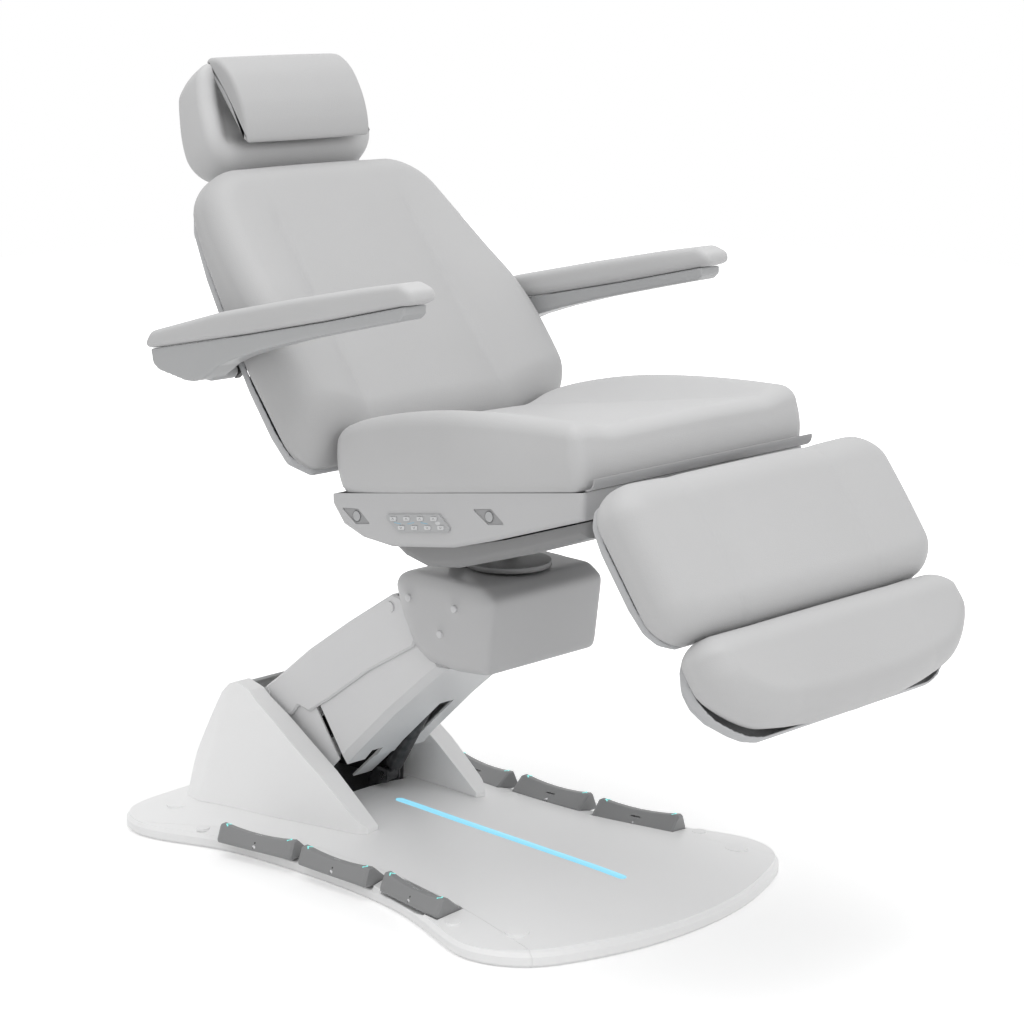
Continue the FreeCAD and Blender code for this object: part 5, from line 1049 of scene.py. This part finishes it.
run = panel_corners[1] - panel_corners[0]
run = np.array((0.0, *(run / np.hypot(*run))))
rise = np.array((0.0, -run[2], run[1]))
rise = rise if rise[2] > 0.0 else -rise
for number, column in enumerate(column_shares, 1):
    for row_name, row in row_shares.items():
        name = "key_{}_{}".format(number, row_name)
        point = panel_point(column, row, key_face)
        lift = rise * (arrow_rise if row_name == "up" else -arrow_rise)
        lines = [(point - lift + run * side, point + lift) for side in (-arrow_half, arrow_half)]
        arrow = strokes(name + "_arrow", lines, panel_out, width=0.0009, proud=0.0002)
        detail(arrow, pedal_plastic, name + "_cap", "panel_grey")
icons = []
for column, tilt in zip(column_shares[:3], (-icon_rise, icon_rise, -icon_rise)):
    point = panel_point(column, between_rows, panel_face)
    icons.append((point - run * icon_half - rise * tilt, point + run * icon_half + rise * tilt))
icon_strokes = strokes("panel_icons", icons, panel_out, width=0.0008, proud=0.0002)
detail(icon_strokes, icon_light, "seat", "light_strip")
oval_centre = panel_point(column_shares[-1], between_rows, panel_face + oval_sink)
turns = [2 * math.pi * n / oval_sides for n in range(oval_sides)]
oval = [oval_centre + run * oval_half[0] * math.cos(turn) + rise * oval_half[1] * math.sin(turn)
        for turn in turns]
detail(prism("panel_oval", oval, (-oval_thickness, 0.0, 0.0)), key_plastic, "seat", "key_grey")
print("marks on eight keys")

# %% [markdown]
# ### Sockets
# Two slanted pockets on each flank hold a round socket. The CAD cover has the pockets, so only what lies in
# them is made here: a grey floor plate, and a disc with a thin dark rim round it. The rim is painted shade,
# the shadow in the narrow gap round the disc, which gives it depth.

# %% Sockets
socket_pockets = [[(-0.016, 0.728), (-0.060, 0.732), (-0.092, 0.709), (-0.054, 0.703)],
                  [(-0.346, 0.773), (-0.391, 0.780), (-0.424, 0.757), (-0.384, 0.751)]]
cover_half = 0.296
pocket_depth = 0.0026
pocket_floor = cover_half - pocket_depth
floor_share = 0.93
floor_thickness = 0.0007
disc_level = 0.0019


def fit_socket(end, side, sign, corners):
    middle = corners.mean(axis=0)
    name = "socket_{}_{}_".format(end, side)
    outline = [(sign * pocket_floor, y, z) for y, z in middle + (corners - middle) * floor_share]
    plate = prism(name + "floor", outline, (sign * floor_thickness, 0.0, 0.0))
    detail(plate, socket_plastic, "seat", "panel_grey")
    centre = (sign * (pocket_floor + disc_level), *middle)
    # The dark rim is painted shade: the shadow in the gap round the disc.
    rim = round_cap(name + "rim", centre, (sign, 0.0, 0.0), radius=0.0102, height=0.0004, edge=0.0001)
    detail(rim, housing_plastic, "seat", "electronics")
    disc = round_cap(name + "disc", centre, (sign, 0.0, 0.0), radius=0.0092, height=0.0006, edge=0.0001)
    detail(disc, panel_plastic, "seat", "panel_grey")


for end, pocket in zip(("rear", "front"), socket_pockets):
    for side, sign in (("left", 1.0), ("right", -1.0)):
        fit_socket(end, side, sign, np.array(pocket))
print("four sockets")

# %% [markdown]
# ### Caps
# Round caps close the screw holes in the head of the arm. The softening of that cover takes their edges
# off, so each gets its own crisp cap. A ring closes the gap round the swivel bearing, and its dark grey is
# painted shade, for the shadow under the seat there.

# %% Caps and the ring under the seat
head_cap_places = [(-0.046, 0.541), (-0.165, 0.540), (-0.128, 0.486)]
head_side = 0.1530
ring_place = (0.0, -0.150, 0.5947)
for number, (y, z) in enumerate(head_cap_places, 1):
    for side, sign in (("left", 1.0), ("right", -1.0)):
        name = "head_cap_{}_{}".format(number, side)
        place = (sign * head_side, y, z)
        cap = round_cap(name, place, (sign, 0.0, 0.0), radius=0.0072, height=0.0090, edge=0.0020)
        detail(cap, cap_plastic, "arm_head", "pale_cap")
# The ring's dark grey is painted shade for the shadow round the swivel bearing.
ring = round_cap("swivel_ring_painted_shade", ring_place, (0.0, 0.0, 1.0), radius=0.0808, height=0.0101, edge=0.0015)
detail(ring, pan_plastic_painted_shade, "swivel_table", "pale_cap")
print("caps and ring placed")

# %% [markdown]
# ### Light strip lens
# The glowing diffuser is wider than its channel. It lies on the dome of the base, so its height is read by
# casting rays down on both sides of the channel. A shrinkwrap would follow the channel's edges too.

# %% Strip lens
lens_radius = 0.0095
lens_front, lens_rear = -0.445, 0.155
lens_section = [(-1.0, -0.0006), (-0.9, 0.0010), (0.0, 0.0013), (0.9, 0.0010), (1.0, -0.0006)]
beside_channel = 0.0115
first_turn, turn_count = 0.15, 6
straight_rows = 21


def base_height(x, y):
    hit, point = nodes["base_shell"].ray_cast((x, y, 0.5), (0.0, 0.0, -1.0))[:2]
    return point[2] if hit else 0.0


def strip_lens():
    turns = np.linspace(first_turn, math.pi / 2, turn_count)
    front = [(lens_front + lens_radius * (1.0 - math.cos(turn)), lens_radius * math.sin(turn))
             for turn in turns]
    rear = [(lens_front + lens_rear - y, half) for y, half in reversed(front)]
    straight = np.linspace(lens_front + 2 * lens_radius, lens_rear - 2 * lens_radius, straight_rows)
    points = []
    for y, half in front + [(y, lens_radius) for y in straight] + rear:
        level = (base_height(-beside_channel, y) + base_height(beside_channel, y)) / 2
        points += [(half * across, y, level + proud) for across, proud in lens_section]
    size = len(lens_section)
    loops = [range(first, first + size) for first in range(0, len(points), size)]
    faces = [face for near, far in zip(loops, loops[1:]) for face in band(near, far)]
    return mesh_piece("strip_lens", points, faces + [tuple(loops[0]), tuple(loops[-1])])


lens = detail(strip_lens(), strip_light, "base", "light_strip")
print("strip lens", [round(v, 3) for v in lens.dimensions])

# %% [markdown]
# ### Flanks of the lower arm cover
# The lower cover's flanks run on behind the tower's fins and hide the pivots. They are thin plates that
# turn with the lower link, drawn in that link's own directions so that they stay in line with it.

# %% Lower cover flanks
arm_run = np.array((-0.8193, 0.5733))
arm_side = np.array((0.5733, 0.8193))
arm_start = np.array((0.347, 0.266))
flank_inner = 0.1145
flank_thickness = 0.0033
flank_outline = [(0.070, -0.020), (-0.010, -0.020), (-0.030, -0.080), (-0.030, -0.178), (0.020, -0.176),
                 (0.070, -0.1675)]
for side, sign in (("left", 1.0), ("right", -1.0)):
    places = [arm_start + arm_run * u + arm_side * v for u, v in flank_outline]
    outline = [(sign * flank_inner, y, z) for y, z in places]
    flank = prism("lower_cover_flank_" + side, outline, (sign * flank_thickness, 0.0, 0.0))
    detail(flank, white_plastic, "lower_link", "white_shell")
print("two flanks")

# %% [markdown]
# ## Floor, light and camera
# A plain white studio. The floor has its own shading, so it keeps the object's shadow, and for camera rays
# a white emission is added that grows away from the chair. A shadow catcher is the other way, but its
# picture has to be put together afterwards.

# %% Floor
floor_half = 9.0
shadow_reach = (0.7, 2.6)
floor_glow = (0.34, 1.0)


def camera_share(tree):
    path = tree.nodes.new("ShaderNodeLightPath")
    seen = math_node(tree, "MAXIMUM", path.outputs["Is Camera Ray"], path.outputs["Is Glossy Ray"])
    return math_node(tree, "MAXIMUM", seen, path.outputs["Is Transmission Ray"])


def make_floor():
    mesh = bpy.data.meshes.new("studio_floor")
    form = bmesh.new()
    bmesh.ops.create_grid(form, x_segments=4, y_segments=4, size=floor_half)
    form.to_mesh(mesh)
    form.free()
    floor = new_piece("studio_floor", mesh)
    material, shader, tone = new_material("studio floor paint", (0.86, 0.86, 0.86), roughness=0.75,
                                          spread=0.03, amount=0.004, spots=2.0)
    set_inputs(shader, Specular_IOR_Level=0.0, Emission_Color=(1.0, 1.0, 1.0, 1.0))
    tree = material.node_tree
    reach = tree.nodes.new("ShaderNodeVectorMath")
    reach.operation = "LENGTH"
    tree.links.new(tree.nodes.new("ShaderNodeNewGeometry").outputs["Position"], reach.inputs[0])
    fade = map_range(tree, reach.outputs["Value"], shadow_reach, floor_glow)
    fade.node.interpolation_type = "SMOOTHSTEP"
    tree.links.new(math_node(tree, "MULTIPLY", camera_share(tree), fade), shader.inputs["Emission Strength"])
    floor.data.materials.append(material)
    return floor


floor = make_floor()
print("floor is", round(floor.dimensions.x), "m wide")

# %% [markdown]
# ### World
# The room is plain white to the camera and a little dimmer as light. More light until the backdrop turned
# white by itself would burn out the pale covers as well.

# %% World
def make_world(level):
    world = bpy.data.worlds.new("studio")
    bpy.context.scene.world = world
    world.use_nodes = True
    tree = world.node_tree
    light = tree.nodes["Background"]
    seen = tree.nodes.new("ShaderNodeBackground")
    for background, strength in ((light, level), (seen, 1.0)):
        set_inputs(background, Color=(1.0, 1.0, 1.0, 1.0), Strength=strength)
    mix = tree.nodes.new("ShaderNodeMixShader")
    tree.links.new(camera_share(tree), mix.inputs[0])
    tree.links.new(light.outputs[0], mix.inputs[1])
    tree.links.new(seen.outputs[0], mix.inputs[2])
    tree.links.new(mix.outputs[0], tree.nodes["World Output"].inputs["Surface"])


make_world(level=0.72)
print("world ready")

# %% [markdown]
# ### Lamps
# The photograph has soft light from above and from the camera's side, with no hard edge to any shadow. Two
# large area lamps give that. A sun or a spot would draw sharp shadows under the seat.

# %% Lamps
def area_lamp(name, place, target, width, height, power):
    lamp = bpy.data.lights.new(name, "AREA")
    lamp.shape = "RECTANGLE"
    lamp.size = width
    lamp.size_y = height
    lamp.energy = power
    holder = bpy.data.objects.new(name, lamp)
    bpy.context.scene.collection.objects.link(holder)
    holder.location = place
    holder.rotation_mode = "QUATERNION"
    holder.rotation_quaternion = (Vector(target) - Vector(place)).to_track_quat("-Z", "Y")


chair_middle = (0.0, -0.1, 0.75)
area_lamp("top light", (-0.3, -0.3, 4.2), chair_middle, width=2.8, height=2.8, power=52.0)
area_lamp("front light", (-1.4, -4.4, 2.4), chair_middle, width=2.4, height=2.0, power=27.0)
print("two lamps")

# %% [markdown]
# ### Camera
# The camera was solved from the photograph's parallel edges and symmetric pairs. Its lens is long, about 93
# mm, so the far armrest is hardly smaller than the near one.

# %% Camera
camera_place = (-3.458, -3.452, 1.710)
camera_right = Vector((0.6896, -0.7242, 0.0))
camera_forward = Vector((0.7083, 0.6745, -0.2079))


def make_camera():
    data = bpy.data.cameras.new("view")
    data.lens = 92.81
    data.sensor_width = 36.0
    data.clip_end = 60.0
    camera = bpy.data.objects.new("view", data)
    bpy.context.scene.collection.objects.link(camera)
    up = camera_right.cross(camera_forward)
    turn = Matrix((camera_right, up, -camera_forward)).transposed()
    camera.matrix_world = Matrix.Translation(camera_place) @ turn.to_4x4()
    bpy.context.scene.camera = camera
    return camera


camera = make_camera()
bpy.context.scene.view_settings.view_transform = "Standard"
print("camera at", [round(v, 2) for v in camera.location])
